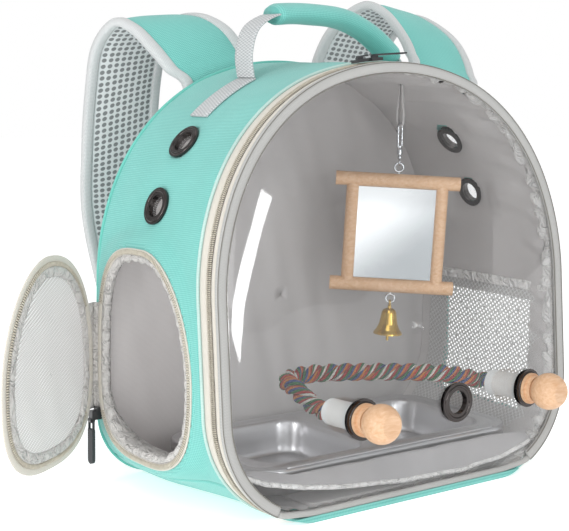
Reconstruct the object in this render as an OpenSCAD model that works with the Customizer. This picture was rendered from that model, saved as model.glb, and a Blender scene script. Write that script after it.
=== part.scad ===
// Soft-sided carrier backpack for a small bird: clear domed front door on a zip, mesh side door,
// rope perch held through the window, steel tray, hanging mirror and bell, handle and shoulder straps.
// Frame: X to the right seen from the front, Y to the back, Z up, origin under the middle of the base.

/* [Body] */
// Height of the shell
body_h = 370; // [320:1:420]
// Half of the shell width
body_a = 195; // [160:1:220]
// Depth of the shell at the floor
body_d = 200; // [160:1:240]
// How far the front rim runs back for each millimetre of height
lean = 0.09; // [0:0.01:0.15]
// Radius of the two lower corners
corner_r = 90; // [50:1:110]
// Radius of the crown arc
crown_r = 235; // [180:1:280]
// Angle where the crown arc meets the shoulder arc
crown_deg = 18; // [8:1:30]
// Radius of the shoulder arcs
shoulder_r = 173; // [120:1:220]
// Angle where the shoulder arc meets the wall arc
shoulder_deg = 67; // [55:1:75]
// Thickness of the outer fabric with its foam
shell_t = 2.2; // [1:0.1:4]
// Thickness of the lining
lining_t = 1.5; // [0.8:0.1:3]
// Height of the seam between the gusset and the base piece
base_z = 30; // [22:1:31]

/* [Front door] */
// Distance from the rim back to the piping
band_w = 24; // [18:1:34]
// Width of the window binding
bind_w = 9; // [6:0.5:14]
// Thickness of the clear window
window_t = 1.2; // [0.8:0.1:2]
// How far the window domes forward
bulge = 14; // [0:1:25]
// Height of the bottom hinge seam of the front door
seam_z = 9; // [6:0.5:14]
// X places of the three window eyelets
eyelet_x = [-65, 42.5, 135.5]; // [three places]
// Height of the three window eyelets
eyelet_z = 79.5; // [60:0.5:110]
// Outer diameter of a window eyelet
eyelet_d = 36; // [26:1:40]
// Hole diameter of a window eyelet
eyelet_bore = 21; // [14:1:24]

/* [Perch] */
// Diameter of the cotton rope
rope_d = 17; // [12:1:22]
// Diameter of a perch sleeve
sleeve_d = 23; // [19:1:28]
// Length of a perch sleeve
sleeve_l = 36; // [20:1:45]
// Diameter of a beech knob
knob_d = 33; // [26:1:40]

/* [Side door] */
// Middle of the side opening along Y
door_y = 20; // [0:1:40]
// Height of the widest line of the side opening
door_z = 108; // [90:1:130]
// Half width of the side opening
door_w = 74; // [50:1:80]
// Height of the arch above the widest line
door_up = 106; // [80:1:120]
// Depth of the bowl below the widest line
door_dn = 76; // [60:1:85]
// How far the door stands open at rest
door_deg = 57; // [0:1:90]

/* [Side eyelets] */
// Places of the two eyelets in each wall along Y
vent_y = [23, 20.5]; // [two places]
// Heights of the two eyelets in each wall
vent_z = [301, 249]; // [two places]
// Outer diameter of a side eyelet
vent_d = 33; // [24:1:38]
// Hole diameter of a side eyelet
vent_bore = 19; // [14:1:24]

/* [Tray] */
// Width of the tray
tray_w = 300; // [240:1:310]
// Depth of the tray
tray_d = 150; // [120:1:165]
// Middle of the tray along Y
tray_y = -4; // [-10:1:10]
// Height of the tray rim
tray_top = 40; // [30:1:50]
// Sheet thickness of the tray
tray_t = 1.2; // [0.8:0.1:2]

/* [Mirror toy] */
// Place of the lower ring the toy hangs from
toy_at = [69.5, 5, 278.3]; // [x, y, z]
// Turn of the toy about its hook
toy_yaw = -37.4; // [-180:0.1:180]
// Lean of the toy in its own plane
toy_tilt = 2.4; // [-10:0.1:10]
// Length of the two cross dowels
dowel_l = 115; // [90:1:130]
// Diameter of the two cross dowels
dowel_d = 13; // [9:0.5:16]
// Distance between the cross dowels
dowel_gap = 98; // [70:1:110]
// Diameter of the side dowels
post_d = 11.5; // [8:0.5:14]
// Distance of a side dowel from the middle
post_x = 41.5; // [30:0.5:50]

/* [Handle and straps] */
// Middle of the handle along Y
handle_y = 30; // [10:1:50]
// Width of the handle webbing
web_w = 25; // [20:1:38]
// Thickness of the webbing
web_t = 1.8; // [1:0.1:3]
// Thickness of a padded shoulder strap
pad_t = 8; // [5:0.5:14]

/* [Hidden] */

$fn = 40;
// radius and start height of the nearly straight wall arc that closes the outline
wall_r = (body_a - crown_r*sin(crown_deg) - shoulder_r*(sin(shoulder_deg) - sin(crown_deg)))
  / (1 - sin(shoulder_deg));
wall_z = body_h - crown_r*(1 - cos(crown_deg)) - shoulder_r*(cos(crown_deg) - cos(shoulder_deg))
  - wall_r*cos(shoulder_deg);
crown_c = [0, body_h - crown_r];
wall_c = [body_a - wall_r, wall_z];
shoulder_c = wall_c + (wall_r - shoulder_r)*[sin(shoulder_deg), cos(shoulder_deg)];
body_back = body_d/2;
back_t = 2.4;
slab_deg = atan(lean);
in_d = shell_t + lining_t + 0.4;

// ---------- outline of the shell, inset by d ----------
function arc(c, r, a0, a1, n) = [for (i = [0:n - 1]) let (t = a0 + (a1 - a0)*i/n) c + r*[sin(t), cos(t)]];
function half(d) = concat(
  arc([body_a - corner_r, corner_r], corner_r - d, 180, 90, 9),
  [[body_a - d, corner_r]],
  arc(wall_c, wall_r - d, 90, shoulder_deg, 4),
  arc(shoulder_c, shoulder_r - d, shoulder_deg, crown_deg, 8),
  arc(crown_c, crown_r - d, crown_deg, 0, 4));
function ring(d) = concat(half(d), [[0, body_h - d]],
  [for (i = [len(half(d)) - 1:-1:0]) [-half(d)[i][0], half(d)[i][1]]]);
function rim(z) = -body_d/2 + lean*z;
// half width of the outer skin at a height, on the shoulder, the wall or the lower corner
function wall_x(z) = z < corner_r ? body_a - corner_r + sqrt(corner_r*corner_r - pow(corner_r - z, 2))
  : z < wall_c[1] ? body_a
  : z < wall_c[1] + wall_r*cos(shoulder_deg) ? wall_c[0] + sqrt(wall_r*wall_r - pow(z - wall_c[1], 2))
  : shoulder_c[0] + sqrt(shoulder_r*shoulder_r - pow(z - shoulder_c[1], 2));
function crown_z(x) = crown_c[1] + sqrt(crown_r*crown_r - x*x);

module outline(d) polygon(ring(d));
module along_y(y0, y1) translate([0, y1, 0]) rotate([90, 0, 0]) linear_extrude(y1 - y0) children();
module tube(d0, d1, y0, y1) along_y(y0, y1) difference() { outline(d0); outline(d1); }
// the space between two planes that follow the leaning rim, b0 and b1 behind it
module slab(b0, b1, z0 = -20, z1 = 420) rotate([90, 0, 90]) linear_extrude(500, center = true)
  polygon([[rim(z0) + b0, z0], [rim(z0) + b1, z0], [rim(z1) + b1, z1], [rim(z1) + b0, z1]]);
module hoop(d0, d1, b0, b1, z0 = -20, z1 = 420) intersection() {
  tube(d0, d1, -body_d/2 - 30, body_back);
  slab(b0, b1, z0, z1);
}

// ---------- window dome ----------
mid = [0, 150];
// how far out a point lies between the middle (0) and the binding (1); the outline is convex
function gauge(x, z) = let (w = ring(bind_w), n = len(w)) max([for (i = [0:n - 1])
  let (p = w[i] - mid, q = w[(i + 1) % n] - mid, v = [q[1] - p[1], p[0] - q[0]])
  norm(q - p) < 0.01 ? 0 : (v*([x, z] - mid))/(v*p)]);
function dome_y(x, z) = rim(z) - bulge*(1 - pow(min(gauge(x, z), 1), 4));
function dome_dir(x, z) = let (fx = (dome_y(x + 0.5, z) - dome_y(x - 0.5, z)),
  fz = (dome_y(x, z + 0.5) - dome_y(x, z - 0.5)), v = [fx, -1, fz]) v/norm(v);
module face_out(v) rotate([0, acos(v[2]), atan2(v[1], v[0])]) children();
module at_window(x) translate([x, dome_y(x, eyelet_z), eyelet_z])
  face_out(dome_dir(x, eyelet_z)) children();

// ---------- solids from rings of points ----------
module skin(rings) {
  m = len(rings[0]);
  n = len(rings);
  polyhedron([for (r = rings) each r], concat(
    [[for (i = [0:m - 1]) i]],
    [for (k = [0:n - 2]) for (i = [0:m - 1]) let (a = k*m + i, b = k*m + (i + 1) % m) each
      [[a, a + m, b], [b, a + m, b + m]]],
    [[for (i = [m - 1:-1:0]) (n - 1)*m + i]]), convexity = 10);
}
// smooth path through control points
function cr(p, i, t) = let (n = len(p), a = p[max(i - 1, 0)], b = p[i], c = p[min(i + 1, n - 1)],
  d = p[min(i + 2, n - 1)]) 0.5*((2*b) + (c - a)*t + (2*a - 5*b + 4*c - d)*t*t + (3*b - a - 3*c + d)*t*t*t);
function path(p, k) = concat([for (i = [0:len(p) - 2]) for (j = [0:k - 1]) cr(p, i, j/k)], [p[len(p) - 1]]);
function dir(p, i) = let (v = p[min(i + 1, len(p) - 1)] - p[max(i - 1, 0)]) v/norm(v);
function unit(v) = v/norm(v);

// flat strip between two edge paths, u across and t through the thickness
module strip(el, er, u0, u1, t0, t1) {
  c = (el + er)/2;
  skin([for (i = [0:len(el) - 1]) let (w = er[i] - el[i], n = unit(cross(w, dir(c, i))),
    a = el[i] + w*u0, b = el[i] + w*u1) [a + n*t0, b + n*t0, b + n*t1, a + n*t1]]);
}

// ---------- shoulder straps: left and right edges of each strap, from the back panel up and over ----------
left_e = path([[-116, 106, 288], [-100, 107, 343], [-116, 113, 361], [-129, 123, 380], [-140, 138, 397],
  [-147, 158, 402], [-153, 180, 380], [-153, 192, 341], [-155, 196, 286], [-158, 190, 225],
  [-153, 170, 157], [-148, 150, 112]], 3);
left_f = path([[-46, 106, 302], [-27, 107, 361], [-33, 113, 382], [-43, 123, 400], [-57, 138, 410],
  [-69, 158, 408], [-73, 180, 387], [-74, 192, 356], [-76, 196, 305], [-81, 190, 226],
  [-77, 170, 152], [-72, 150, 104]], 3);
right_e = path([[116, 106, 286], [172, 108, 362], [173, 113, 386], [166, 123, 407], [158, 138, 425],
  [150, 156, 432], [138, 178, 418], [126, 192, 394], [116, 198, 355], [110, 197, 280],
  [106, 189, 222], [102, 171, 160], [105, 150, 112]], 3);
right_f = path([[182, 106, 262], [262, 108, 340], [268, 113, 362], [259, 123, 391], [243, 138, 410],
  [226, 156, 420], [221, 178, 408], [217, 192, 386], [211, 198, 348], [206, 197, 278],
  [201, 189, 220], [197, 171, 154], [201, 150, 104]], 3);

module strap_pad(el, er) strip(el, er, 0.13, 0.87, 0.5, pad_t/2);
module strap_mesh(el, er) strip(el, er, 0.13, 0.87, -pad_t/2, 0);
module strap_binding(el, er) {
  strip(el, er, -0.01, 0.12, -pad_t/2 - 0.6, pad_t/2 + 0.6);
  strip(el, er, 0.88, 1.01, -pad_t/2 - 0.6, pad_t/2 + 0.6);
}
function side(v, s) = [for (p = v) p + [s*web_w/2, 0, 0]];
// the strap's lower end runs down and forward; the buckle and both webbing pieces follow that line
end_deg = 24;
end_d = [0, -sin(end_deg), -cos(end_deg)];
end_n = [0, cos(end_deg), -sin(end_deg)];
module strap_webbing(c, x) {
  p = path([c + end_d*19.5 - end_n*3.7, c + end_d*28 - end_n*3.7, [x, 119, 58], [x, 103.4, 38],
    [x, body_back + web_t/2 + 0.2, 30], [x, body_back + web_t/2 + 0.2, 14]], 4);
  q = [c + end_d*1.6 + end_n*3.6, c + end_d*4 + end_n*3.6, c + end_d*8 + end_n*3.6];
  strip(side(p, -1), side(p, 1), 0, 1, -web_t/2, web_t/2);
  strip(side(q, -1), side(q, 1), 0, 1, -web_t/2, web_t/2);
}
module strap_buckle(c) translate(c + end_d*14) rotate([-end_deg, 0, 0]) difference() {
  cube([web_w + 10, 5, 22], center = true);
  for (z = [-5.5, 5.5]) translate([0, 0, z]) cube([web_w + 2, 6, 5], center = true);
}
left_c = (left_e[len(left_e) - 1] + left_f[len(left_f) - 1])/2;
right_c = (right_e[len(right_e) - 1] + right_f[len(right_f) - 1])/2;

// ---------- side opening ----------
// arch outline in (y, z), grown by d
function arch(d) = [for (i = [0:71]) let (t = i*5, c = cos(t), s = sin(t), up = s > 0,
  k = up ? 2/1.8 : 2/2.5, h = up ? door_up : door_dn)
  [door_y + (door_w + d)*sign(c)*pow(abs(c), k), door_z + (h + d)*sign(s)*pow(abs(s), k)]];
collar_x = -body_a - 3;
module along_x(x0, x1) translate([x0, 0, 0]) rotate([90, 0, 90]) linear_extrude(x1 - x0) children();
module arch_ring(d0, d1) difference() { polygon(arch(d0)); polygon(arch(d1)); }
module arch_slab(d, x0, x1) along_x(x0, x1) polygon(arch(d));
// teal fairing that carries the flat ring out from the rounded wall
module fairing() intersection() {
  skin([for (q = [[1, collar_x + 1.6], [10, -172], [14, -160]])
    [for (p = arch(q[0])) [q[1], p[0], p[1]]]]);
  translate([-260, -120, 0]) cube([260, 120 + body_back - 3.7, 300]);
}
module front_cut(b) difference() { children(); slab(b - 200, b); }
module inside(d) along_y(-body_d/2 - 20, body_back + 20) outline(d);

// ---------- eyelets ----------
module eyelet(od, bore, depth) rotate_extrude($fn = 48) {
  translate([bore/2, -depth]) square([1, depth + 1]);
  translate([(od + bore)/4, 1.3]) circle(1.3);
  translate([bore/2, 0.1]) square([(od - bore)/2 - 0.6, 1.6]);
  translate([bore/2, -depth]) square([(od - bore)/2 - 2, 1]);
}
module at_vent(i, s) {
  z = vent_z[i];
  v = unit([s, 0, -(wall_x(z + 0.5) - wall_x(z - 0.5))]);
  translate([s*wall_x(z), vent_y[i], z]) face_out(v) children();
}
module vents(r) for (i = [0, 1]) for (s = [-1, 1]) at_vent(i, s) cylinder(r = r, h = 30, center = true);

// ---------- right wall window ----------
module pane(d) translate([-52 - d, 44 - d]) square([112 + 2*d, 104 + 2*d]);

// ================= body =================
// gusset from a seam line up, or the base piece below it, both with their holes
module wall_piece(z0, z1) difference() {
  intersection() {
    wall();
    translate([-300, -200, z0]) cube([600, 400, z1 - z0]);
  }
  arch_slab(0, -300, -100);
  vents(vent_bore/2 + 1.2);
  along_x(150, 260) pane(0);
}
module side_gusset() color("#7CCFC4") wall_piece(base_z, 400);
module base_panel() color("#63BDB2") wall_piece(0, base_z);
module wall() union() {
  intersection() { tube(0, shell_t, -body_d/2 - 30, body_back - back_t); slab(band_w + 2.4, 400); }
  difference() { fairing(); inside(shell_t); }
}
module gusset_lining() color("#A9A7A6") difference() {
  intersection() {
    tube(shell_t + 0.2, shell_t + 0.2 + lining_t, -body_d/2 - 30, body_back - back_t - 0.2);
    slab(12.5, 400);
  }
  arch_slab(0.1, -300, -100);
  vents(vent_bore/2 + 1.2);
  along_x(150, 260) pane(0);
}
module back_panel() color("#74C6BB") along_y(body_back - back_t, body_back) outline(0);
module back_lining() color("#A3A1A0") along_y(body_back - back_t - 1.8, body_back - back_t - 0.2)
  outline(in_d);
module back_pad() color("#9DA3A3") difference() {
  along_y(body_back + 0.1, body_back + 9) polygon([for (p = ring(0)) [p[0]*0.74, 44 + p[1]*0.6]]);
  translate([-9, body_back + 4, 20]) cube([18, 20, 300]);
  for (z = [110, 180]) translate([-180, body_back + 5, z]) cube([360, 20, 8]);
  for (q = [[left_e, left_f], [right_e, right_f]]) strip([q[0][0], q[0][1]], [q[1][0], q[1][1]],
    -0.06, 1.06, -5.6, 8);
}
module base_strip() color("#63BDB2") union() {
  intersection() { along_y(-body_d/2 - 2, -body_d/2 + 30) outline(0); slab(-2.2, 0.9, -20, seam_z - 0.5); }
  hoop(0, shell_t, 0.9, 8, -20, seam_z - 0.5);
}
module floor_board() color("#8F8D8C") translate([-100, rim(0) + 14, in_d + 0.1])
  cube([200, body_d - 14 - back_t - 4, 4]);
module grounded() intersection() { children(); translate([-300, -200, 0]) cube([600, 400, 500]); }
module rear_piping() color("#CFCFCD") grounded() tube(-1.6, -0.05, body_back - 3.6, body_back + 0.4);
module front_piping() color("#B9D8D2") grounded() hoop(-1.5, shell_t, band_w, band_w + 2.3);
module body_zip_tape() color("#D8D4CC") hoop(0.3, shell_t, 14, band_w - 0.1);
module body_zip_teeth() color("#C7C1B4") grounded() {
  hoop(-0.8, 1.6, 11.2, 13.9);
  hoop(-0.8, 1.6, 8.2, 11, -20, seam_z - 0.5);
}
module side_eyelets() color("#4A474A") for (i = [0, 1]) for (s = [-1, 1]) at_vent(i, s)
  eyelet(vent_d, vent_bore, 6);
module eyelet_mesh() color("#8B8888") for (i = [0, 1]) for (s = [-1, 1]) at_vent(i, s)
  translate([0, 0, -3.2]) cylinder(d = vent_bore - 0.1, h = 0.6);

// ---------- side door opening ----------
module door_collar() color("#D6D2C9") union() {
  front_cut(band_w + 3) difference() {
    along_x(collar_x, -150) arch_ring(-0.1, -5.8);
    inside(in_d + 0.6);
  }
  translate([collar_x - 2, 95.2, 80]) cube([3.4, 1, 76]);
  translate([hinge_at[0], hinge_at[1], 80]) cylinder(r = 1.1, h = 76);
  translate([collar_x, 93.8, 80]) cube([1.4, 2.4, 76]);
}
module collar_teeth() color("#B9B3A6") difference() {
  along_x(collar_x - 1.8, collar_x - 0.05) arch_ring(-1.8, -4.8);
  translate([-300, 88, 60]) cube([200, 20, 90]);
}
module collar_trim() color("#C9C7C4") difference() {
  along_x(collar_x + 3, -150) arch_ring(-5.9, -10.9);
  inside(in_d + 0.6);
}
// ---------- right wall ----------
module right_strip(d0, d1, y0, y1, z0, z1) intersection() {
  tube(d0, d1, y0, y1);
  translate([100, -200, z0]) cube([200, 400, z1 - z0]);
}
module mesh_window() color("#B4B3B2") union() {
  right_strip(in_d, in_d + 1, -70, 84, 24, 159);
  right_strip(in_d, in_d + 3, -70, 84, 159, 167);
}
module outer_pocket() color("#7E8483") union() {
  right_strip(-1.2, -0.1, -56, 74, 22, 152);
  right_strip(-2.6, -0.1, -56, 74, 152, 160);
}

// ---------- hanging loop ----------
hook_yaw = 25;
hook_top = 316.2;
// height of the bend's centre, with the hook's wire lying in it
loop_low = hook_top + 0.1;
module ceiling_loop() color("#8E8C8B") {
  z1 = crown_z(toy_at[0]) - (in_d + 0.1)/cos(asin(toy_at[0]/crown_r));
  translate([toy_at[0], toy_at[1], 0]) rotate([0, 0, hook_yaw]) difference() {
    union() {
      translate([-2.3, -3.4, loop_low]) cube([4.6, 6.8, z1 - 2.4 - loop_low]);
      translate([-2.3, 0, loop_low]) rotate([0, 90, 0]) cylinder(r = 3.4, h = 4.6);
    }
    translate([-4, -2.4, loop_low]) cube([8, 4.8, 24]);
    translate([-4, 0, loop_low]) rotate([0, 90, 0]) cylinder(r = 2.4, h = 8);
  }
  translate([toy_at[0], toy_at[1], z1]) rotate([0, asin(toy_at[0]/crown_r), 0])
    translate([-7, -7, -3]) cube([14, 14, 2.8]);
}

// ---------- front door ----------
module above() intersection() { children(); translate([-300, -200, seam_z + 0.5]) cube([600, 500, 500]); }
module panel_tape() color("#D8D4CC") above() hoop(0.3, shell_t, 2.5, 8.1);
module panel_zip_teeth() color("#C7C1B4") above() hoop(-0.8, 1.6, 8.2, 10.9);
module front_binding() color("#CFCFCD") above() difference() {
  hoop(-0.6, bind_w, -2.3, 2.4);
  hoop(2.8, bind_w + 1, -0.9, 0.9);
}
dome_s = [1, 0.95, 0.87, 0.76, 0.62, 0.46, 0.28, 0.1];
function dome_ring(s, o) = [for (p = ring(bind_w)) let (q = mid + (p - mid)*s)
  [q[0], rim(q[1]) - bulge*(1 - pow(s, 4)) + o, q[1]]];
function flange_ring(o) = [for (p = ring(3.2)) [p[0], rim(p[1]) + o, p[1]]];
module front_window() color("#DDE6E8", 0.35) difference() {
  above() skin(concat(
    [for (i = [7:-1:0]) dome_ring(dome_s[i], -window_t/2)], [flange_ring(-window_t/2)],
    [flange_ring(window_t/2)], [for (s = dome_s) dome_ring(s, window_t/2)]));
  for (x = eyelet_x) at_window(x) cylinder(r = eyelet_bore/2 + 1.1, h = 20, center = true);
}
module window_eyelets() color("#55504F") for (x = eyelet_x) at_window(x)
  translate([0, 0, 1.1]) eyelet(eyelet_d, eyelet_bore, 3.6);

// ---------- perch ----------
module at_knob(i) at_window(eyelet_x[i]) children();
module perch_sleeves() color("#EEF0EE") for (i = [0, 2]) at_knob(i) difference() {
  union() {
    translate([0, 0, -3.2 - sleeve_l]) cylinder(d = sleeve_d, h = sleeve_l);
    translate([0, 0, -3.2]) cylinder(d = eyelet_bore - 1, h = 6);
  }
  translate([0, 0, -5.2 - sleeve_l]) cylinder(d = rope_d + 1.4, h = 24);
  translate([0, 0, -10]) cylinder(d = 6.4, h = 24);
}
function window_pt(i, t) = [eyelet_x[i], dome_y(eyelet_x[i], eyelet_z), eyelet_z]
  + t*dome_dir(eyelet_x[i], eyelet_z);
rope_p = path([window_pt(0, -20), window_pt(0, -36), window_pt(0, -60), [-66, -18, 88.5],
  [-57, 5, 89.5], [-34, 14, 90], [-5, 8, 90], [45, -12, 88.5], [95, -38, 85.5],
  window_pt(2, -56), window_pt(2, -36), window_pt(2, -20)], 4);
module perch_rope() color("#B5573F") skin([for (i = [0:len(rope_p) - 1]) let (t = dir(rope_p, i),
  a = unit(cross(t, [0, 0, 1])), b = cross(a, t)) [for (k = [0:11]) rope_p[i]
  + rope_d/2*(a*cos(k*30) + b*sin(k*30))]]);
module knob() rotate_extrude($fn = 48) difference() {
  union() {
    translate([0, 3.1]) square([14, 2.6]);
    translate([0, 5.6]) square([11.5, 5]);
    translate([0, 10.5]) square([9.5, 5]);
    intersection() {
      translate([0, 24]) circle(d = knob_d);
      translate([0, 12.5]) square([40, 25]);
    }
  }
  translate([-40, -5]) square([40, 60]);
}
module knob_stud() translate([0, 0, -9]) cylinder(d = 5.8, h = 16);
module perch_knob_left() color("#EBC9A4") at_knob(0) union() { translate([0, 0, 0.75]) knob(); knob_stud(); }
module perch_knob_right() color("#EBC9A4") at_knob(2) union() { translate([0, 0, 0.75]) knob(); knob_stud(); }

// ---------- side door, built closed and turned open about its rear edge ----------
hinge_at = [collar_x - 2.3, 96, 0];
leaf_x = collar_x - 2.3;
module leaf_open() translate(hinge_at) rotate([0, 0, -door_deg]) translate(-hinge_at) children();
module door_tape() color("#D6D2C9") leaf_open() union() {
  along_x(leaf_x - 1.7, leaf_x) arch_ring(0.4, -8.4);
  translate([leaf_x - 1.7, 90, 82]) cube([1.7, 4.7, 72]);
}
module door_teeth() color("#B9B3A6") leaf_open() difference() {
  along_x(leaf_x + 0.1, leaf_x + 1.9) arch_ring(-5.2, -8.2);
  translate([-300, 86, 60]) cube([200, 20, 90]);
}
module door_trim() color("#C4C2BF") leaf_open() along_x(leaf_x - 1.9, leaf_x + 2.2) arch_ring(-8.5, -17);
module door_mesh() color("#CFCECD", 0.6) leaf_open() along_x(leaf_x - 0.4, leaf_x + 0.4)
  polygon(arch(-17.1));

// ---------- side door zip slider ----------
slide_at = [collar_x - 5.4, 92.8, 62.1];
module door_slider() color("#3B3C3E") translate(slide_at) difference() {
  union() {
    translate([0, 0, -1.5]) cube([5, 6.4, 8], center = true);
    translate([2.4, -3.2, -5.5]) cube([4.7, 6.4, 11]);
    translate([-1.6, 0, -6]) rotate([90, 0, 0]) cylinder(r = 2.4, h = 5, center = true);
  }
  translate([-1.6, 0, -7]) rotate([90, 0, 0]) cylinder(r = 1.3, h = 10, center = true);
}
module door_pull() color("#333436") translate(slide_at + [-1.6, 0, -7]) union() {
  rotate([90, 0, 0]) cylinder(r = 1.1, h = 7.2, center = true);
  for (y = [-3.6, 3.6]) translate([-1, y - 0.6, -8]) cube([2, 1.2, 8.6]);
  translate([-1.5, -4.1, -34]) cube([3, 8.2, 27]);
  translate([-1.5, 0, -34]) rotate([0, 90, 0]) cylinder(d = 8.2, h = 3);
}

// ---------- front zip sliders, turned along the crown arc ----------
module on_crown(deg) translate([0, rim(crown_c[1]) + 11, crown_c[1]]) rotate([-slab_deg, 0, 0])
  rotate([0, deg, 0]) translate([0, 0, crown_r/cos(slab_deg)]) children();
module slider_shape() {
  translate([-6, -4, 1.3]) cube([12, 8, 2.7]);
  translate([-3, -1.6, 3.9]) cube([6, 3.2, 1.8]);
}
module zip_slider_left() color("#262728") on_crown(-8) union() {
  slider_shape();
  translate([-1.5, -2.4, 5.6]) cube([10, 4.8, 1.4]);
}
module zip_slider_right() color("#262728") on_crown(-4) union() {
  slider_shape();
  translate([-1, -2.8, 5.6]) cube([36, 5.6, 1.4]);
}

// ---------- handle ----------
tab_x = 88;
fold_z = 355;
module handle_tabs() color("#C9CACA") for (s = [-1, 1]) intersection() {
  tube(-web_t, -0.1, handle_y - web_w/2, handle_y + web_w/2);
  translate([s*111, 0, 300]) cube([50, 200, 200], center = true);
}
bow = path([[-88, 355.3], [-90.5, 375], [-84, 396], [-68, 407], [-51, 410.5], [-22, 411.5], [14, 409],
  [44, 399], [70, 382], [84, 367], [88.5, 355.3]], 4);
function bow3(i) = [bow[i][0], handle_y, bow[i][1]];
function bow_n(i) = let (d = dir(bow, i)) [-d[1], d[0]];
module handle_webbing() color("#C9CACA") difference() {
  along_y(handle_y - web_w/2, handle_y + web_w/2) polygon(concat(
    [for (i = [0:len(bow) - 1]) bow[i] + bow_n(i)*web_t/2],
    [for (i = [len(bow) - 1:-1:0]) bow[i] - bow_n(i)*web_t/2]));
  for (s = [-1, 1]) translate([-110, handle_y, fold_z]) rotate([s*20, 0, 0])
    translate([0, s > 0 ? 0 : -30, -10]) cube([220, 30, 10]);
}
function grip_in(i) = min(1, min((i - 14)/2, (32 - i)/2) + 0.62);
module handle_grip() color("#6CC3B8") difference() {
  skin([for (i = [14:32]) let (n = bow_n(i), k = grip_in(i)) [for (j = [0:15]) bow3(i)
    + k*9.6*sin(j*22.5)*[n[0], 0, n[1]] + [0, k*15.5*cos(j*22.5), 0]]]);
  along_y(handle_y - web_w/2 - 0.2, handle_y + web_w/2 + 0.2) polygon(concat(
    [for (i = [0:len(bow) - 1]) bow[i] + bow_n(i)*(web_t/2 + 0.1)],
    [for (i = [len(bow) - 1:-1:0]) bow[i] - bow_n(i)*(web_t/2 + 0.1)]));
}

// ---------- tray: pressed sheet with a down-turned lip and two wells ----------
module round_box(w, d, r, z0, z1) translate([0, 0, z0]) linear_extrude(z1 - z0) {
  square([w - 2*r, d], center = true);
  square([w, d - 2*r], center = true);
  for (x = [-1, 1]) for (y = [-1, 1]) translate([x*(w/2 - r), y*(d/2 - r)]) circle(r);
}
tray_floor = in_d + 4.3;
module wells(g, z0, z1) for (q = [[-70, 114], [66, 124]]) translate([q[0], 0, 0])
  round_box(q[1] + 2*g, tray_d - 36 + 2*g, 24 + g, z0, z1);
module steel_tray() color("#A9A8AA") translate([0, tray_y, 0]) difference() {
  union() {
    difference() {
      round_box(tray_w, tray_d, 30, tray_top - 11, tray_top);
      round_box(tray_w - 2*tray_t, tray_d - 2*tray_t, 30 - tray_t, tray_top - 20, tray_top - tray_t);
    }
    wells(tray_t, tray_floor, tray_top);
  }
  wells(0, tray_floor + tray_t, tray_top + 1);
}

// ---------- hook, swivel and toy ----------
module at_hook() translate([toy_at[0], toy_at[1], 0]) rotate([0, 0, hook_yaw]) children();
module torus(r, w) rotate_extrude($fn = 32) translate([r, 0]) circle(w, $fn = 16);
module upright_torus(r, w) rotate([90, 0, 0]) torus(r, w);
hook_r = 4.4;
hook_w = 1.1;
hook_lo = 292;
module snap_hook() color("#C9CBCE") at_hook() union() {
  difference() {
    union() {
      intersection() {
        translate([0, 0, hook_top - hook_r]) upright_torus(hook_r, hook_w);
        translate([-10, -10, hook_top - hook_r]) cube(20);
      }
      intersection() {
        translate([0, 0, hook_lo + hook_r]) upright_torus(hook_r, hook_w);
        translate([-10, -10, hook_lo + hook_r - 20]) cube(20);
      }
      translate([-hook_r, 0, hook_lo + hook_r]) cylinder(r = hook_w, h = hook_top - hook_lo - 2*hook_r, $fn = 16);
      translate([hook_r, 0, hook_lo + hook_r]) cylinder(r = hook_w, h = 3, $fn = 16);
      translate([0, 0, hook_lo - 4.6]) cylinder(r = 2.6, h = 4.4);
    }
    translate([0, 0, hook_lo - 6]) cylinder(r = 1.3, h = 12);
  }
}
gate_lo = hook_lo + hook_r + 3.55;
module snap_gate() color("#B9BBBE") at_hook() translate([hook_r, 0, gate_lo])
  cylinder(r = hook_w, h = hook_top - hook_r - 0.2 - gate_lo, $fn = 16);
module swivel_ring() color("#C9CBCE") translate([toy_at[0], toy_at[1], 0]) rotate([0, 0, toy_yaw + 90])
  union() {
    translate([0, 0, hook_lo - 7]) cylinder(r = 1.1, h = 9.4);
    translate([0, 0, hook_lo + 1.9]) cylinder(r = 2.1, h = 1.2);
    translate([0, 0, hook_lo - 7.4]) sphere(r = 2, $fn = 24);
    translate([0, 0, toy_at[2] + 2]) upright_torus(2.9, 0.8);
  }
module toy() translate(toy_at) rotate([0, 0, toy_yaw]) rotate([0, toy_tilt, 0]) children();
dowel_z = -15.6;
low_z = dowel_z - dowel_gap;
module bar(z) translate([0, 0, z]) rotate([0, 90, 0]) cylinder(d = dowel_d, h = dowel_l, center = true);
module cross_dowels() color("#E9CBA6") toy() difference() {
  union() { bar(dowel_z); bar(low_z); }
  translate([0, 0, dowel_z + 0.8]) cylinder(r = 0.9, h = 20);
  translate([0, 0, low_z - 20]) cylinder(r = 0.9, h = 19.2);
}
module side_dowels() color("#E4C49D") toy() difference() {
  for (x = [-1, 1]) translate([x*post_x, 0, low_z]) cylinder(d = post_d, h = dowel_gap);
  translate([0, 0, dowel_z]) rotate([0, 90, 0]) cylinder(d = dowel_d + 0.1, h = 200, center = true);
  translate([0, 0, low_z]) rotate([0, 90, 0]) cylinder(d = dowel_d + 0.1, h = 200, center = true);
  translate([-post_x + 4.9, -1.4, low_z]) cube([2*post_x - 9.8, 2.8, dowel_gap]);
}
module mirror_plate() color("#E8ECEE") toy() translate([-post_x + 5, -1.3, low_z + dowel_d/2 + 0.1])
  cube([2*post_x - 10, 2.6, dowel_gap - dowel_d - 0.2]);
module screw_eyes() color("#C9CBCE") toy() union() {
  translate([0, 0, -3]) upright_torus(4, 1);
  translate([0, 0, dowel_z + 1]) cylinder(r = 0.8, h = -3 - 3.6 - dowel_z - 1);
  translate([0, 0, low_z - 12]) upright_torus(4, 1);
  translate([0, 0, low_z - 8.4]) cylinder(r = 0.8, h = 7.4);
}
bell_z = low_z - 16.4;
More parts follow.
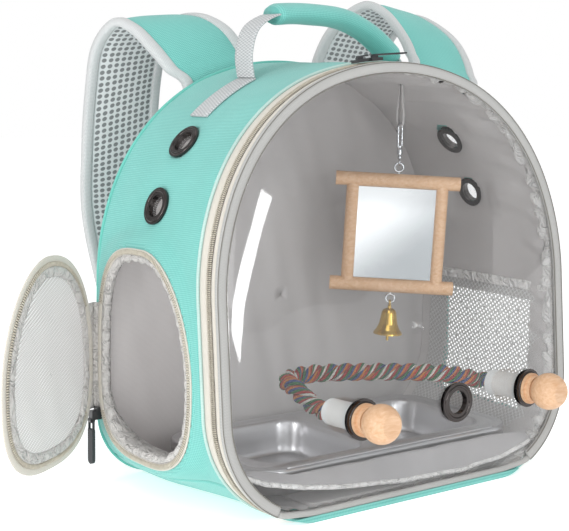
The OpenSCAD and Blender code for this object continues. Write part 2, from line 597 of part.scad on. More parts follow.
module bell() color("#B8963A") toy() translate([0, 0, bell_z]) union() {
  rotate([0, 0, 90]) upright_torus(2.5, 0.8);
  translate([0, 0, -5.4]) cylinder(r = 1.6, h = 3.4);
  rotate_extrude($fn = 48) polygon([[0, -5], [3, -5.2], [5.6, -6.6], [6.9, -9], [7.6, -14], [8.8, -20],
    [11, -25], [13.4, -28], [13.6, -29.4], [12.4, -29.4], [10.2, -26.2], [7.8, -20.4], [6.5, -14],
    [5.8, -9.6], [4.6, -7.6], [2.6, -6.4], [0, -6.2]]);
}
module bell_clapper() color("#9A7C30") toy() translate([0, 0, bell_z - 6.8]) union() {
  translate([0, 0, -22]) cylinder(r = 0.8, h = 22.2);
  translate([0, 0, -22]) sphere(r = 3, $fn = 24);
  translate([0, 0, -29]) cylinder(r = 1.3, h = 6);
}

side_gusset();
base_panel();
gusset_lining();
back_panel();
back_lining();
back_pad();
base_strip();
floor_board();
rear_piping();
front_piping();
body_zip_tape();
body_zip_teeth();
side_eyelets();
eyelet_mesh();
door_collar();
collar_teeth();
collar_trim();
mesh_window();
outer_pocket();
ceiling_loop();
handle_tabs();
color("#74C8BD") strap_pad(left_e, left_f);  // strap_left_pad
color("#8F9291") strap_mesh(left_e, left_f);  // strap_left_mesh
color("#C9CACA") strap_binding(left_e, left_f);  // strap_left_binding
color("#8F9291") strap_webbing(left_c, -140);  // strap_left_webbing
color("#2E2F31") strap_buckle(left_c);  // strap_left_buckle
color("#74C8BD") strap_pad(right_e, right_f);  // strap_right_pad
color("#8F9291") strap_mesh(right_e, right_f);  // strap_right_mesh
color("#C9CACA") strap_binding(right_e, right_f);  // strap_right_binding
color("#8F9291") strap_webbing(right_c, 140);  // strap_right_webbing
color("#2E2F31") strap_buckle(right_c);  // strap_right_buckle
panel_tape();
panel_zip_teeth();
front_binding();
front_window();
window_eyelets();
perch_sleeves();
perch_rope();
perch_knob_left();
perch_knob_right();
door_tape();
door_teeth();
door_trim();
door_mesh();
door_slider();
door_pull();
zip_slider_left();
zip_slider_right();
handle_webbing();
handle_grip();
steel_tray();
snap_hook();
snap_gate();
swivel_ring();
cross_dowels();
side_dowels();
mirror_plate();
screw_eyes();
bell();
bell_clapper();
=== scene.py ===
import math
import bpy
import bmesh
import numpy as np
from mathutils import Matrix, Vector


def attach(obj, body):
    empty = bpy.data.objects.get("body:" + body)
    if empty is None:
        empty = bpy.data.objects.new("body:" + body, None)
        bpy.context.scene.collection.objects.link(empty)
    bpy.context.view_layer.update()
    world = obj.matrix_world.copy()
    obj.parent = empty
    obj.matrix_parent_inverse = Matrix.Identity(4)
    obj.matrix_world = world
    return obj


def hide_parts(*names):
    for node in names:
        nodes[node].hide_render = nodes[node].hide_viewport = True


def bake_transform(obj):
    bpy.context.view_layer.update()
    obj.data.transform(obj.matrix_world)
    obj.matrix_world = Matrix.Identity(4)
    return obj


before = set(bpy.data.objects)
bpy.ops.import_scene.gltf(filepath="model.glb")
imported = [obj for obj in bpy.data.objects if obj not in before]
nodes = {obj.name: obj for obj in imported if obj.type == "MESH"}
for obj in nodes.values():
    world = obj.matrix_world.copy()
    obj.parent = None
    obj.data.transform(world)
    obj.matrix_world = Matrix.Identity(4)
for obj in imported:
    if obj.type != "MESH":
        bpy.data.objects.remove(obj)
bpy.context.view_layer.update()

# ---- Camera and studio ----
# A long lens a little above the carrier, looking at its front left corner, as a shop photograph does.
# Pale floor, white surroundings, one big soft light and a tall strip light that the clear window mirrors.
def placed(name, data):
    """An object linked into the scene."""
    thing = bpy.data.objects.new(name, data)
    bpy.context.scene.collection.objects.link(thing)
    return thing


camera = placed("camera", bpy.data.cameras.new("camera"))
camera.data.sensor_width = 36
camera.data.lens = 84.7
camera.matrix_world = Matrix((
    (0.79531654, 0.07091002, -0.60203269, -0.76633),
    (-0.60598789, 0.11891907, -0.78653476, -0.91494),
    (0.01581998, 0.99036863, 0.13754892, 0.35398),
    (0, 0, 0, 1)))
bpy.context.scene.camera = camera
bpy.context.scene.view_settings.view_transform = "Standard"


def linear(code):
    """An sRGB hex colour as linear red, green, blue and 1."""
    parts = [int(code[i:i + 2], 16) / 255 for i in (1, 3, 5)]
    return tuple(c / 12.92 if c <= 0.04045 else ((c + 0.055) / 1.055) ** 2.4 for c in parts) + (1.0,)


def add(tree, kind, inputs=None, **settings):
    """A node with its settings, its input values, and links where an input is another node's output."""
    node = tree.nodes.new(kind)
    for key, value in settings.items():
        setattr(node, key, value)
    for key, value in (inputs or {}).items():
        if isinstance(value, bpy.types.NodeSocket):
            tree.links.new(value, node.inputs[key])
        else:
            node.inputs[key].default_value = value
    return node


def new_material(name):
    """An empty material, its tree and its output node."""
    material = bpy.data.materials.new(name)
    material.use_nodes = True
    tree = material.node_tree
    tree.nodes.clear()
    return material, tree, tree.nodes.new("ShaderNodeOutputMaterial")


def area_light(name, place, size, power):
    """A rectangular light, not yet aimed."""
    lamp = bpy.data.lights.new(name, "AREA")
    lamp.shape, lamp.size, lamp.size_y, lamp.energy = "RECTANGLE", size[0], size[1], power
    light = placed(name, lamp)
    light.location = place
    return light


world = bpy.data.worlds.new("studio")
world.use_nodes = True
bpy.context.scene.world = world
world.node_tree.nodes.clear()
seen = add(world.node_tree, "ShaderNodeLightPath")
level = add(world.node_tree, "ShaderNodeMapRange", {0: seen.outputs["Is Camera Ray"], 3: 0.62, 4: 1.0})
sky = add(world.node_tree, "ShaderNodeBackground", {"Color": (1, 1, 1, 1), "Strength": level.outputs[0]})
world.node_tree.links.new(sky.outputs[0], add(world.node_tree, "ShaderNodeOutputWorld").inputs[0])

for name, place, target, size, power in (
        ("key_light", (-1.3, -1.5, 1.9), (0, 0, 0.15), (1.4, 1.4), 12),
        ("strip_light", (-1.02, -0.30, 0.30), (-0.1, -0.1, 0.22), (0.05, 0.62), 3.2),
        ("front_fill", (-0.75, -2.3, 0.75), (0, 0, 0.2), (1.8, 1.2), 11),
        ("top_light", (0.3, 0.1, 1.6), (0, 0, 0.2), (1.2, 0.9), 4)):
    light = area_light(name, place, size, power)
    light.rotation_euler = (Vector(target) - Vector(place)).to_track_quat("-Z", "Y").to_euler()

# matt photographic paper: an even white without shine
paper, tree, out = new_material("white_backdrop_paper")
coat = add(tree, "ShaderNodeBsdfPrincipled", {"Base Color": (0.93, 0.93, 0.93, 1), "Roughness": 0.9})
coat.inputs["Emission Color"].default_value = (1, 1, 1, 1)
coat.inputs["Emission Strength"].default_value = 0.5
tree.links.new(coat.outputs[0], out.inputs[0])
floor_mesh = bpy.data.meshes.new("floor")
floor_mesh.from_pydata([(x, y, -0.0006) for x, y in ((-6, -6), (6, -6), (6, 6), (-6, 6))], [], [(0, 1, 2, 3)])
floor_mesh.materials.append(paper)
placed("floor", floor_mesh)

# ---- Outer shell ----
# Two-layer teal oxford cloth with thin foam between, one long gusset bent round the back panel.
# The wall is drawn out round the side opening, and a separate base piece is sewn on low down.
HALF_WIDTH, HEIGHT, HALF_DEPTH, LEAN = 195.0, 370.0, 100.0, 0.09
CORNER_R, CROWN_R, SHOULDER_R = 90.0, 235.0, 173.0
CROWN_A, SHOULDER_A = math.radians(18), math.radians(67)
LINING_IN, LINING_FRONT, LINING_BACK, BAND_BACK, SKIN_BACK = 3.9, 12.5, 96.8, 26.4, 99.4
wall_r = (HALF_WIDTH - CROWN_R * math.sin(CROWN_A)
          - SHOULDER_R * (math.sin(SHOULDER_A) - math.sin(CROWN_A))) / (
    1 - math.sin(SHOULDER_A))
wall_z = (HEIGHT - CROWN_R * (1 - math.cos(CROWN_A)) - SHOULDER_R * (math.cos(CROWN_A) - math.cos(SHOULDER_A))
          - wall_r * math.cos(SHOULDER_A))
wall_c = (HALF_WIDTH - wall_r, wall_z)
shoulder_c = (wall_c[0] + (wall_r - SHOULDER_R) * math.sin(SHOULDER_A),
              wall_c[1] + (wall_r - SHOULDER_R) * math.cos(SHOULDER_A))


def rim_line(count, corner=CORNER_R):
    """Even points round the rim from mid base, rightwards first: x, z, outward x and z; and distances."""
    rows = [(x, 0, 0, -1) for x in np.linspace(0, HALF_WIDTH - corner, 40)]
    for centre, radius, a0, a1 in (((HALF_WIDTH - corner, corner), corner, math.pi, math.pi / 2),
                                   (wall_c, wall_r, math.pi / 2, SHOULDER_A),
                                   (shoulder_c, SHOULDER_R, SHOULDER_A, CROWN_A),
                                   ((0, HEIGHT - CROWN_R), CROWN_R, CROWN_A, 0)):
        for a in np.linspace(a0, a1, 60):
            rows.append((centre[0] + radius * math.sin(a), centre[1] + radius * math.cos(a), math.sin(a),
                         math.cos(a)))
    rows = np.array(rows)
    left = rows[::-1].copy()
    left[:, 0] *= -1
    left[:, 2] *= -1
    rows = np.vstack([rows, left])
    step = np.hypot(*np.diff(rows[:, :2], axis=0).T)
    keep = np.concatenate([[True], step > 1e-6])
    rows = rows[keep]
    s = np.concatenate([[0], np.cumsum(np.hypot(*np.diff(rows[:, :2], axis=0).T))])
    t = np.linspace(0, s[-1], count)
    line = np.stack([np.interp(t, s, rows[:, k]) for k in range(4)], 1)
    line[:, 2:] /= np.hypot(line[:, 2], line[:, 3])[:, None]
    return line, t


def rim_y(z):
    """Where the leaning front rim lies at a height."""
    return -HALF_DEPTH + LEAN * z


def under_skin(line, depth):
    """x and z of points at a depth under the outer skin."""
    return line[..., 0] - line[..., 2] * depth, line[..., 1] - line[..., 3] * depth


def behind_rim(line, depth, behind):
    """Points at a depth under the outer skin and a distance behind the front rim."""
    x, z = under_skin(line, depth)
    return np.stack([x, rim_y(z) + behind, z], -1)


def ripple(u, v, seed, count=9, low=1.0, high=3.0):
    """Soft random waves from -1 to 1 over two lengths that are given in wavelengths."""
    rng = np.random.default_rng(seed)
    total = np.zeros(np.broadcast(u, v).shape)
    for k in range(count):
        a, f, p = rng.uniform(0, 2 * np.pi), rng.uniform(low, high), rng.uniform(0, 2 * np.pi)
        total = total + np.sin(2 * np.pi * f * (u * np.cos(a) + v * np.sin(a)) + p)
    return total / (0.62 * count)


def ease(x):
    """0 to 1 with soft ends."""
    x = np.clip(x, 0, 1)
    return x * x * (3 - 2 * x)


def settled(piece):
    """The piece with its modifiers turned into its mesh."""
    bpy.context.view_layer.update()
    graph = bpy.context.evaluated_depsgraph_get()
    mesh = bpy.data.meshes.new_from_object(piece.evaluated_get(graph))
    piece.modifiers.clear()
    piece.data = mesh
    return piece


def cloth_grid(name, points, uv, keep=None, thick=0.0, flip=False):
    """A sheet from a grid of points in mm, with its cloth map in mm; thick is built behind the face."""
    rows, cols = points.shape[:2]
    index = np.arange(rows * cols).reshape(rows, cols)
    quads = np.stack([index[:-1, :-1], index[1:, :-1], index[1:, 1:], index[:-1, 1:]], -1).reshape(-1, 4)
    if keep is not None:
        quads = quads[keep.reshape(-1)]
    if flip:
        quads = quads[:, ::-1]
    mesh = bpy.data.meshes.new(name)
    mesh.from_pydata((points.reshape(-1, 3) / 1000).tolist(), [], quads.tolist())
    layer = mesh.uv_layers.new(name="cloth")
    layer.data.foreach_set("uv", (uv.reshape(-1, 2)[quads.reshape(-1)] / 1000).astype(np.float32).reshape(-1))
    mesh.polygons.foreach_set("use_smooth", [True] * len(mesh.polygons))
    piece = placed(name, mesh)
    shape = bmesh.new()
    shape.from_mesh(mesh)
    bmesh.ops.delete(shape, geom=[v for v in shape.verts if not v.link_faces], context="VERTS")
    bmesh.ops.remove_doubles(shape, verts=shape.verts, dist=1e-6)
    shape.to_mesh(mesh)
    shape.free()
    if thick:
        wall = piece.modifiers.new("wall", "SOLIDIFY")
        wall.thickness = thick / 1000
        wall.offset = -1
        wall.use_even_offset = False
        settled(piece)
    return piece


def dress(piece, material, body, slot, *replaced):
    """Gives a finished piece its material and its body, and hides the solids it stands for. The slot is not
    used.
    """
    piece.data.materials.clear()
    piece.data.materials.append(material)
    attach(piece, body)
    if replaced:
        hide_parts(*replaced)
    return piece


def woven(name, light, dark, pitch, turn=0.0, depth=0.35, rough=0.85, sheen=0.25, cast=0.12, stretch=1.0,
          creases=0.0):
    """Woven cloth: crossing threads at a pitch in mm on the cloth map, uneven dye, soft sheen, creases."""
    material, tree, out = new_material(name)
    place = add(tree, "ShaderNodeMapping", {"Vector": add(tree, "ShaderNodeUVMap", uv_map="cloth").outputs[0],
                                            "Rotation": (0, 0, math.radians(turn))})
    axes = add(tree, "ShaderNodeSeparateXYZ", {0: place.outputs[0]})
    turns = 2 * math.pi * 1000 / pitch
    waves = [add(tree, "ShaderNodeMath",
                 {0: add(tree, "ShaderNodeMath", {0: axes.outputs[k], 1: turns * (stretch if k else 1)},
                                                 operation="MULTIPLY").outputs[0]}, operation="SINE")
             for k in (0, 1)]
    cross = add(tree, "ShaderNodeMath", {0: waves[0].outputs[0], 1: waves[1].outputs[0]},
                operation="MULTIPLY")
    height = add(tree, "ShaderNodeMapRange", {0: cross.outputs[0], 1: -1.0, 2: 1.0})
    dye = add(tree, "ShaderNodeTexNoise",
              {"Vector": add(tree, "ShaderNodeTexCoord").outputs["Object"], "Scale": 14.0,
                                           "Detail": 3.0})
    thread = add(tree, "ShaderNodeMix", {0: height.outputs[0], 6: linear(dark), 7: linear(light)},
                 data_type="RGBA")
    hue = add(tree, "ShaderNodeHueSaturation",
              {"Color": thread.outputs[2], "Value": add(tree, "ShaderNodeMapRange", {
        0: dye.outputs[0], 1: 0.3, 2: 0.7, 3: 1 - cast, 4: 1 + cast * 0.6}).outputs[0]})
    fuzz = add(tree, "ShaderNodeTexNoise",
               {"Vector": add(tree, "ShaderNodeTexCoord").outputs["Object"], "Scale": 900.0})
    top = add(tree, "ShaderNodeMath", {0: fuzz.outputs[0], 1: 0.5, 2: height.outputs[0]},
              operation="MULTIPLY_ADD")
    bump = add(tree, "ShaderNodeBump", {"Strength": depth, "Distance": 0.0004, "Height": top.outputs[0]})
    if creases:
        crush = add(tree, "ShaderNodeTexNoise",
                    {"Vector": add(tree, "ShaderNodeTexCoord").outputs["Object"], "Scale": 105.0,
                                                 "Detail": 2.0, "Distortion": 0.8})
        ridge = add(tree, "ShaderNodeMath",
                    {0: add(tree, "ShaderNodeMath", {0: crush.outputs[0], 1: 0.5}, operation="SUBTRACT")
                                             .outputs[0]}, operation="ABSOLUTE")
        bump = add(tree, "ShaderNodeBump",
                   {"Strength": creases, "Distance": 0.012, "Height": ridge.outputs[0],
                                            "Normal": bump.outputs[0]})
    cloth = add(tree, "ShaderNodeBsdfPrincipled", {"Base Color": hue.outputs[0], "Roughness": rough,
                                                   "Sheen Weight": sheen, "Sheen Roughness": 0.5,
                                                   "Normal": bump.outputs[0]})
    tree.links.new(cloth.outputs[0], out.inputs[0])
    return material


# polyester oxford: a matt plain weave seen as a fine slanted grid, its threads drawn coarse so they show
teal_oxford = woven("teal_oxford_cloth", "#8AD0C8", "#55AAA2", 2.3, turn=45, depth=0.5, cast=0.06)


def side_arch(grow, count=288, top=106.0, rear=(3.3, 3.0)):
    """The side opening's outline in y and z, grown by a distance: pointed in front, squarer behind."""
    a = np.linspace(0, 2 * np.pi, 8 * count, endpoint=False)
    c, s = np.cos(a), np.sin(a)
    up = s > 0
    power = np.where(c > 0, np.where(up, 2 / rear[0], 2 / rear[1]), np.where(up, 2 / 1.85, 2 / 2.8))
    fine = np.stack([20 + (74 + grow) * np.sign(c) * np.abs(c) ** power,
                     108 + (np.where(up, top, 76) + grow) * np.sign(s) * np.abs(s) ** power], 1)
    fine = np.vstack([fine, fine[:1]])
    s = np.concatenate([[0], np.cumsum(np.hypot(*np.diff(fine, axis=0).T))])
    t = np.linspace(0, s[-1], count, endpoint=False)
    return np.stack([np.interp(t, s, fine[:, 0]), np.interp(t, s, fine[:, 1])], 1)


def from_edge(y, z, edge):
    """Distance to a closed outline, positive outside it, and the nearest point on it."""
    flat = np.stack([np.ravel(y), np.ravel(z)], 1)
    gap = np.linalg.norm(flat[:, None, :] - edge[None], axis=2)
    near = gap.argmin(1)
    q = np.roll(edge, -1, 0)
    crossing = ((edge[None, :, 1] > flat[:, None, 1]) != (q[None, :, 1] > flat[:, None, 1])) & (
        flat[:, None, 0] < (q - edge)[None, :, 0] * (flat[:, None, 1] - edge[None, :, 1])
        / np.where(np.abs((q - edge)[:, 1]) < 1e-9, 1e-9, (q - edge)[:, 1])[None] + edge[None, :, 0])
    inside = crossing.sum(1) % 2 == 1
    return (np.where(inside, -1, 1) * gap.min(1)).reshape(np.shape(y)), edge[near].reshape(np.shape(y) + (2,))


VENTS = ((23.0, 301.0), (20.5, 249.0))
VENT_CUT, SNAP_BAND, FAIRING, FAIRING_X = 11.5, 2.4, 19.0, 196.6
PANE = (-52.0, 60.0, 44.0, 148.0)
BACK_CORNER_R = 62.0
line, along = rim_line(561)
back_line, _ = rim_line(561, BACK_CORNER_R)
steps = 73


def wall_grid(line, inset, front, back, push=None):
    """Grid over the gusset at a depth under its skin, from a distance behind the rim to a y near the back."""
    x, z = under_skin(line, inset)
    y0 = rim_y(z) + front
    v = np.linspace(0, 1, steps)
    y = y0[:, None] + (back - y0)[:, None] * v[None]
    grid = np.stack([np.repeat(x[:, None], steps, 1), y, np.repeat(z[:, None], steps, 1)], -1)
    if push is not None:
        grid[..., 0] += line[:, None, 2] * push(grid)
        grid[..., 2] += line[:, None, 3] * push(grid)
    return grid


def whole_quads(solid):
    """The faces of a grid whose four corners are all kept."""
    return solid[:-1, :-1] & solid[1:, :-1] & solid[1:, 1:] & solid[:-1, 1:]


def cut_wall(grid, gap, left, edge_band):
    """The points of a wall grid clear of the side opening, the side eyelets and the net window."""
    solid = ~((gap < -0.01) & left & ~edge_band)
    for y, z in VENTS:
        solid &= ~((np.hypot(grid[..., 1] - y, grid[..., 2] - z) < VENT_CUT) & (np.abs(grid[..., 0]) > 100))
    return solid & ~((grid[..., 0] > 150) & (grid[..., 1] > PANE[0]) & (grid[..., 1] < PANE[1])
                     & (grid[..., 2] > PANE[2]) & (grid[..., 2] < PANE[3]))


def snap_to(grid, edge_band, near):
    """Moves the points beside an outline onto it."""
    grid[..., 1] = np.where(edge_band, near[..., 0], grid[..., 1])
    grid[..., 2] = np.where(edge_band, near[..., 1], grid[..., 2])


def skin_push(grid):
    """Slight unevenness of the foam-backed wall."""
    return 0.35 * ripple(grid[..., 1] / 90, (grid[..., 0] + grid[..., 2]) / 90, 3) - 0.2


fuller = ease(np.linspace(0, 1, steps) / 0.8)[None, :, None]
outer = (wall_grid(line, 0, BAND_BACK, SKIN_BACK, skin_push) * (1 - fuller)
         + wall_grid(back_line, 0, BAND_BACK, SKIN_BACK, skin_push) * fuller)
uv = np.stack([np.repeat(along[:, None], steps, 1), outer[..., 1]], -1)
left = (outer[..., 0] < -100)
gap, near = from_edge(outer[..., 1], outer[..., 2], side_arch(0))
drawn = (1 - ease(gap / FAIRING)) * left
outer[..., 0] = np.where(left, outer[..., 0] * (1 - drawn) - FAIRING_X * drawn, outer[..., 0])
edge_band = left & (np.abs(gap) < SNAP_BAND)
snap_to(outer, edge_band, near)
keep = whole_quads(cut_wall(outer, gap, left, edge_band))
SEAM_Z = 30.0
high = np.nonzero(line[:, 1] > SEAM_Z)[0]
for row in (high[0], high[-1]):
    outer[row] -= 1.0 * np.array([line[row, 2], 0, line[row, 3]])
above_seam = np.zeros(keep.shape, bool)
above_seam[high[0]:high[-1]] = True
for name, part in (("side_gusset", keep & above_seam), ("base_panel", keep & ~above_seam)):
    dress(cloth_grid("teal_" + name, outer, uv, part, thick=1.9, flip=True), teal_oxford, "shell",
          "teal_oxford", name)


def radial_grid(line, inset, shares, depth):
    """Grid over an outline from its middle (share 0) to its edge: depth gives y from x, z and the share."""
    edge = np.stack(under_skin(line[::2], inset), 1)
    middle = np.array([0.0, 150.0])
    flat = middle + (edge - middle)[:, None] * np.asarray(shares)[None, :, None]
    y = depth(flat[..., 0], flat[..., 1], np.broadcast_to(np.asarray(shares)[None], flat.shape[:2]))
    return np.stack([flat[..., 0], y, flat[..., 1]], -1), flat


shares = np.concatenate([[0.004], np.linspace(0.05, 0.97, 34), [0.985, 0.995, 1.0]])
back, uv_back = radial_grid(back_line, 1.2, shares, lambda x, z, s: 99.2 + 0.8 * ease((1 - s) / 0.12))
dress(cloth_grid("teal_back_panel", back, uv_back, thick=1.6), teal_oxford, "shell", "teal_oxford",
      "back_panel")


def lengths(points):
    """Distance along a run of points from its first one."""
    return np.concatenate([[0], np.cumsum(np.linalg.norm(np.diff(points, axis=0), axis=1))])


def skin_rings(name, rings, closed=False):
    """A skin over rings of points in mm that go round the section, capped at its ends unless closed."""
    wrapped = np.concatenate([rings, rings[:, :1]], 1)
    uv = np.stack(np.meshgrid(lengths(rings.mean(1)), lengths(wrapped[len(rings) // 2]), indexing="ij"), -1)
    if closed:
        wrapped[-1] = wrapped[0]
    piece = cloth_grid(name, wrapped, uv)
    shape = bmesh.new()
    shape.from_mesh(piece.data)
    if not closed:
        bmesh.ops.holes_fill(shape, edges=[e for e in shape.edges if e.is_boundary])
    bmesh.ops.recalc_face_normals(shape, faces=shape.faces)
    shape.to_mesh(piece.data)
    shape.free()
    return piece


def rim_rows(z_low=None, z_high=None, count=561, corner=CORNER_R):
    """The rim's points above or below a height, or all round, in one run."""
    rows, s = rim_line(4001, corner)
    if z_low is not None:
        picked = np.nonzero(rows[:, 1] >= z_low)[0]
        rows = rows[picked[0]:picked[-1] + 1]
    elif z_high is not None:
        picked = np.nonzero(rows[:, 1] <= z_high)[0]
        rows = np.vstack([rows[picked[picked >= 2000]], rows[picked[picked < 2000]][1:]])
    return rows[np.linspace(0, len(rows) - 1, count).round().astype(int)]


def rim_strip(name, section, rows):
    """A strip round the rim. Its section runs in (depth under the skin, distance behind the rim)."""
    d, b = np.array(section).T
    return skin_rings(name, behind_rim(rows[:, None], d, b))


def bead(d, b, radius, count=12):
    """A round section."""
    a = np.linspace(0, 2 * np.pi, count, endpoint=False)
    return [(d + radius * math.cos(t), b + radius * math.sin(t)) for t in a]


# polyester tape cut on the slant, sewn round a cord: a tight slanting weave and a soft edge
pale_piping = woven("pale_teal_piping_cloth", "#CFE3DE", "#93BFB6", 1.6, turn=45, depth=0.3)
teal_piping = woven("teal_piping_cloth", "#79C9BD", "#4FA99D", 1.6, turn=45, depth=0.3)
ground = rim_rows(z_low=1.6)
dress(rim_strip("front_welt", bead(0.15, BAND_BACK - 1.3, 1.45), ground), pale_piping, "shell", "beige_tape",
      "front_piping")
rear_rings = [[(r[0] - r[2] * d, 97.6 + b, r[1] - r[3] * d) for d, b in bead(-0.1, 0, 1.5)]
              for r in rim_rows(z_low=1.6, corner=BACK_CORNER_R)]
dress(skin_rings("rear_welt", np.array(rear_rings)), teal_piping, "shell", "grey_webbing", "rear_piping")

# ---- Front zip, its tapes and sliders ----
# Two beige twill tapes with a nylon coil on each edge: one sewn to the gusset, one to the clear door.
# The coil is one thread bent to and fro; each turn is a small arch over the tape's edge.
tree = bpy.data.node_groups.new("parts_along_a_line", "GeometryNodeTree")
for name, kind in (("Line", "NodeSocketGeometry"), ("Spacing", "NodeSocketFloat"),
                   ("Part", "NodeSocketObject"), ("Finish", "NodeSocketMaterial")):
    tree.interface.new_socket(name, in_out="INPUT", socket_type=kind)
tree.interface.new_socket("Parts", in_out="OUTPUT", socket_type="NodeSocketGeometry")
inlet = tree.nodes.new("NodeGroupInput")
curve = add(tree, "GeometryNodeMeshToCurve", {0: inlet.outputs["Line"]})
even = add(tree, "GeometryNodeResampleCurve", {"Curve": curve.outputs[0], "Length": inlet.outputs["Spacing"]},
           mode="LENGTH")
up = add(tree, "GeometryNodeInputNamedAttribute", {"Name": "up"}, data_type="FLOAT_VECTOR")
turn = add(tree, "FunctionNodeAxesToRotation",
           {0: up.outputs[0], 1: tree.nodes.new("GeometryNodeInputTangent").outputs[0]}, primary_axis="Z",
           secondary_axis="X")
part = add(tree, "GeometryNodeObjectInfo", {"Object": inlet.outputs["Part"]})
copies = add(tree, "GeometryNodeInstanceOnPoints",
             {"Points": even.outputs[0], "Instance": part.outputs["Geometry"],
                                                    "Rotation": turn.outputs[0]})
real = add(tree, "GeometryNodeRealizeInstances", {0: copies.outputs[0]})
coated = add(tree, "GeometryNodeSetMaterial",
             {"Geometry": real.outputs[0], "Material": inlet.outputs["Finish"]})
tree.links.new(coated.outputs[0], tree.nodes.new("NodeGroupOutput").inputs[0])
row_tree = tree


def part_row(name, points, ups, spacing, part, material):
    """Copies of a small part at a spacing in mm along a run of points, standing along given directions."""
    points, ups = np.array(points, float) / 1000, np.array(ups, float)
    mesh = bpy.data.meshes.new(name)
    mesh.from_pydata(points.tolist(), [(i, i + 1) for i in range(len(points) - 1)], [])
    mesh.attributes.new("up", "FLOAT_VECTOR",
                        "POINT").data.foreach_set("vector", ups.astype(np.float32).reshape(-1))
    piece = placed(name, mesh)
    maker = piece.modifiers.new("row", "NODES")
    maker.node_group = row_tree
    sockets = {i.name: i.identifier for i in row_tree.interface.items_tree if i.in_out == "INPUT"}
    maker[sockets["Spacing"]] = spacing / 1000
    maker[sockets["Part"]] = part
    maker[sockets["Finish"]] = material
    settled(piece)
    piece.data.polygons.foreach_set("use_smooth", [True] * len(piece.data.polygons))
    return piece


def bent_thread(name, width, height, radius, steps=6, sides=6):
    """One turn of a coil: a thread bent in an arch across Y."""
    rings = []
    for a in np.linspace(0, math.pi, steps):
        centre = np.array([0, -0.5 * width * math.cos(a), height * math.sin(a)])
        out_way = np.array([0, -math.cos(a), math.sin(a)])
        rings.append([centre + radius * (math.cos(t) * np.array([1.0, 0, 0]) + math.sin(t) * out_way)
                      for t in np.linspace(0, 2 * math.pi, sides, endpoint=False)])
    rings = np.array(rings)
    mesh = bpy.data.meshes.new(name)
    faces = [(r * sides + k, (r + 1) * sides + k, (r + 1) * sides + (k + 1) % sides,
              r * sides + (k + 1) % sides)
             for r in range(steps - 1) for k in range(sides)]
    faces += [tuple(range(sides)), tuple(range(steps * sides - 1, (steps - 1) * sides - 1, -1))]
    mesh.from_pydata((rings.reshape(-1, 3) / 1000).tolist(), [], faces)
    return bpy.data.objects.new(name, mesh)


def speckled(name, dark, light, scale, rough, bump=0.0, detail=2.0, **more):
    """A moulded or painted finish with a slight mottle, and a bump where one is asked for."""
    material, tree, out = new_material(name)
    mottle = add(tree, "ShaderNodeTexNoise",
                 {"Vector": add(tree, "ShaderNodeTexCoord").outputs["Object"], "Scale": scale,
                                              "Detail": detail})
    tone = add(tree, "ShaderNodeMix", {0: mottle.outputs[0], 6: linear(dark), 7: linear(light)},
               data_type="RGBA")
    inputs = {"Base Color": tone.outputs[2], "Roughness": rough}
    inputs.update({key.replace("_", " "): value for key, value in more.items()})
    if bump:
        grain = add(tree, "ShaderNodeBump",
                    {"Strength": bump, "Distance": 0.0002, "Height": mottle.outputs[0]})
        inputs["Normal"] = grain.outputs[0]
    tree.links.new(add(tree, "ShaderNodeBsdfPrincipled", inputs).outputs[0], out.inputs[0])
    return material


# extruded nylon thread: smooth and waxy, with a small bright line on each turn
nylon_coil = speckled("golden_grey_nylon_coil", "#A9A191", "#D5CFC0", 260.0, 0.38, IOR=1.5)
# polyester twill tape: fine slanting ribs, quite matt
zip_tape = woven("beige_twill_tape", "#E2DED5", "#BDB7AB", 1.1, turn=25, depth=0.35, cast=0.04)
COIL_PITCH, tooth = 1.55, bent_thread("coil_turn", 2.4, 1.1, 0.5)


def rim_run(rows, d, b):
    """A line round the rim at a depth and a distance behind it, with its outward directions."""
    return behind_rim(rows, d, b), np.stack([rows[:, 2], np.zeros(len(rows)), rows[:, 3]], -1)


door_rows = rim_rows(z_low=9.8)
foot_rows = rim_rows(z_high=8.4, count=201)
dress(rim_strip("gusset_zip_tape", [(0.9, 23.9), (0.35, 21), (0.5, 16), (1.0, 14.1), (1.7, 14.1), (2.1, 20),
                                    (2.1, 23.9)],
                rim_rows(z_low=0.6)), zip_tape, "shell", "beige_tape", "body_zip_tape")
dress(rim_strip("door_zip_tape", [(1.0, 8.0), (0.45, 6.5), (0.4, 4), (0.7, 2.5), (2.1, 2.5), (2.1, 5),
                                  (1.7, 8.0)],
                door_rows), zip_tape, "front_door", "beige_tape", "panel_tape")
run, ups = rim_run(rim_rows(z_low=1.6), 0.75, 12.5)
dress(part_row("gusset_zip_coil", run, ups, COIL_PITCH, tooth, nylon_coil), nylon_coil, "shell", "zip_coil",
      "body_zip_teeth")
run, ups = rim_run(door_rows, 0.75, 9.5)
dress(part_row("door_zip_coil", run, ups, COIL_PITCH, tooth, nylon_coil), nylon_coil, "front_door",
      "zip_coil", "panel_zip_teeth")

# painted zinc casting: hard black with a small clear highlight
black_metal = speckled("black_painted_zinc", "#1C1D1F", "#3A3B3E", 420.0, 0.34, detail=4.0, Coat_Weight=0.4,
                       Coat_Roughness=0.2)


def paint_node(material, *names):
    """Gives packed rigid parts their finish."""
    for name in names:
        nodes[name].data.materials.clear()
        nodes[name].data.materials.append(material)


paint_node(black_metal, "zip_slider_left", "zip_slider_right", "door_slider")

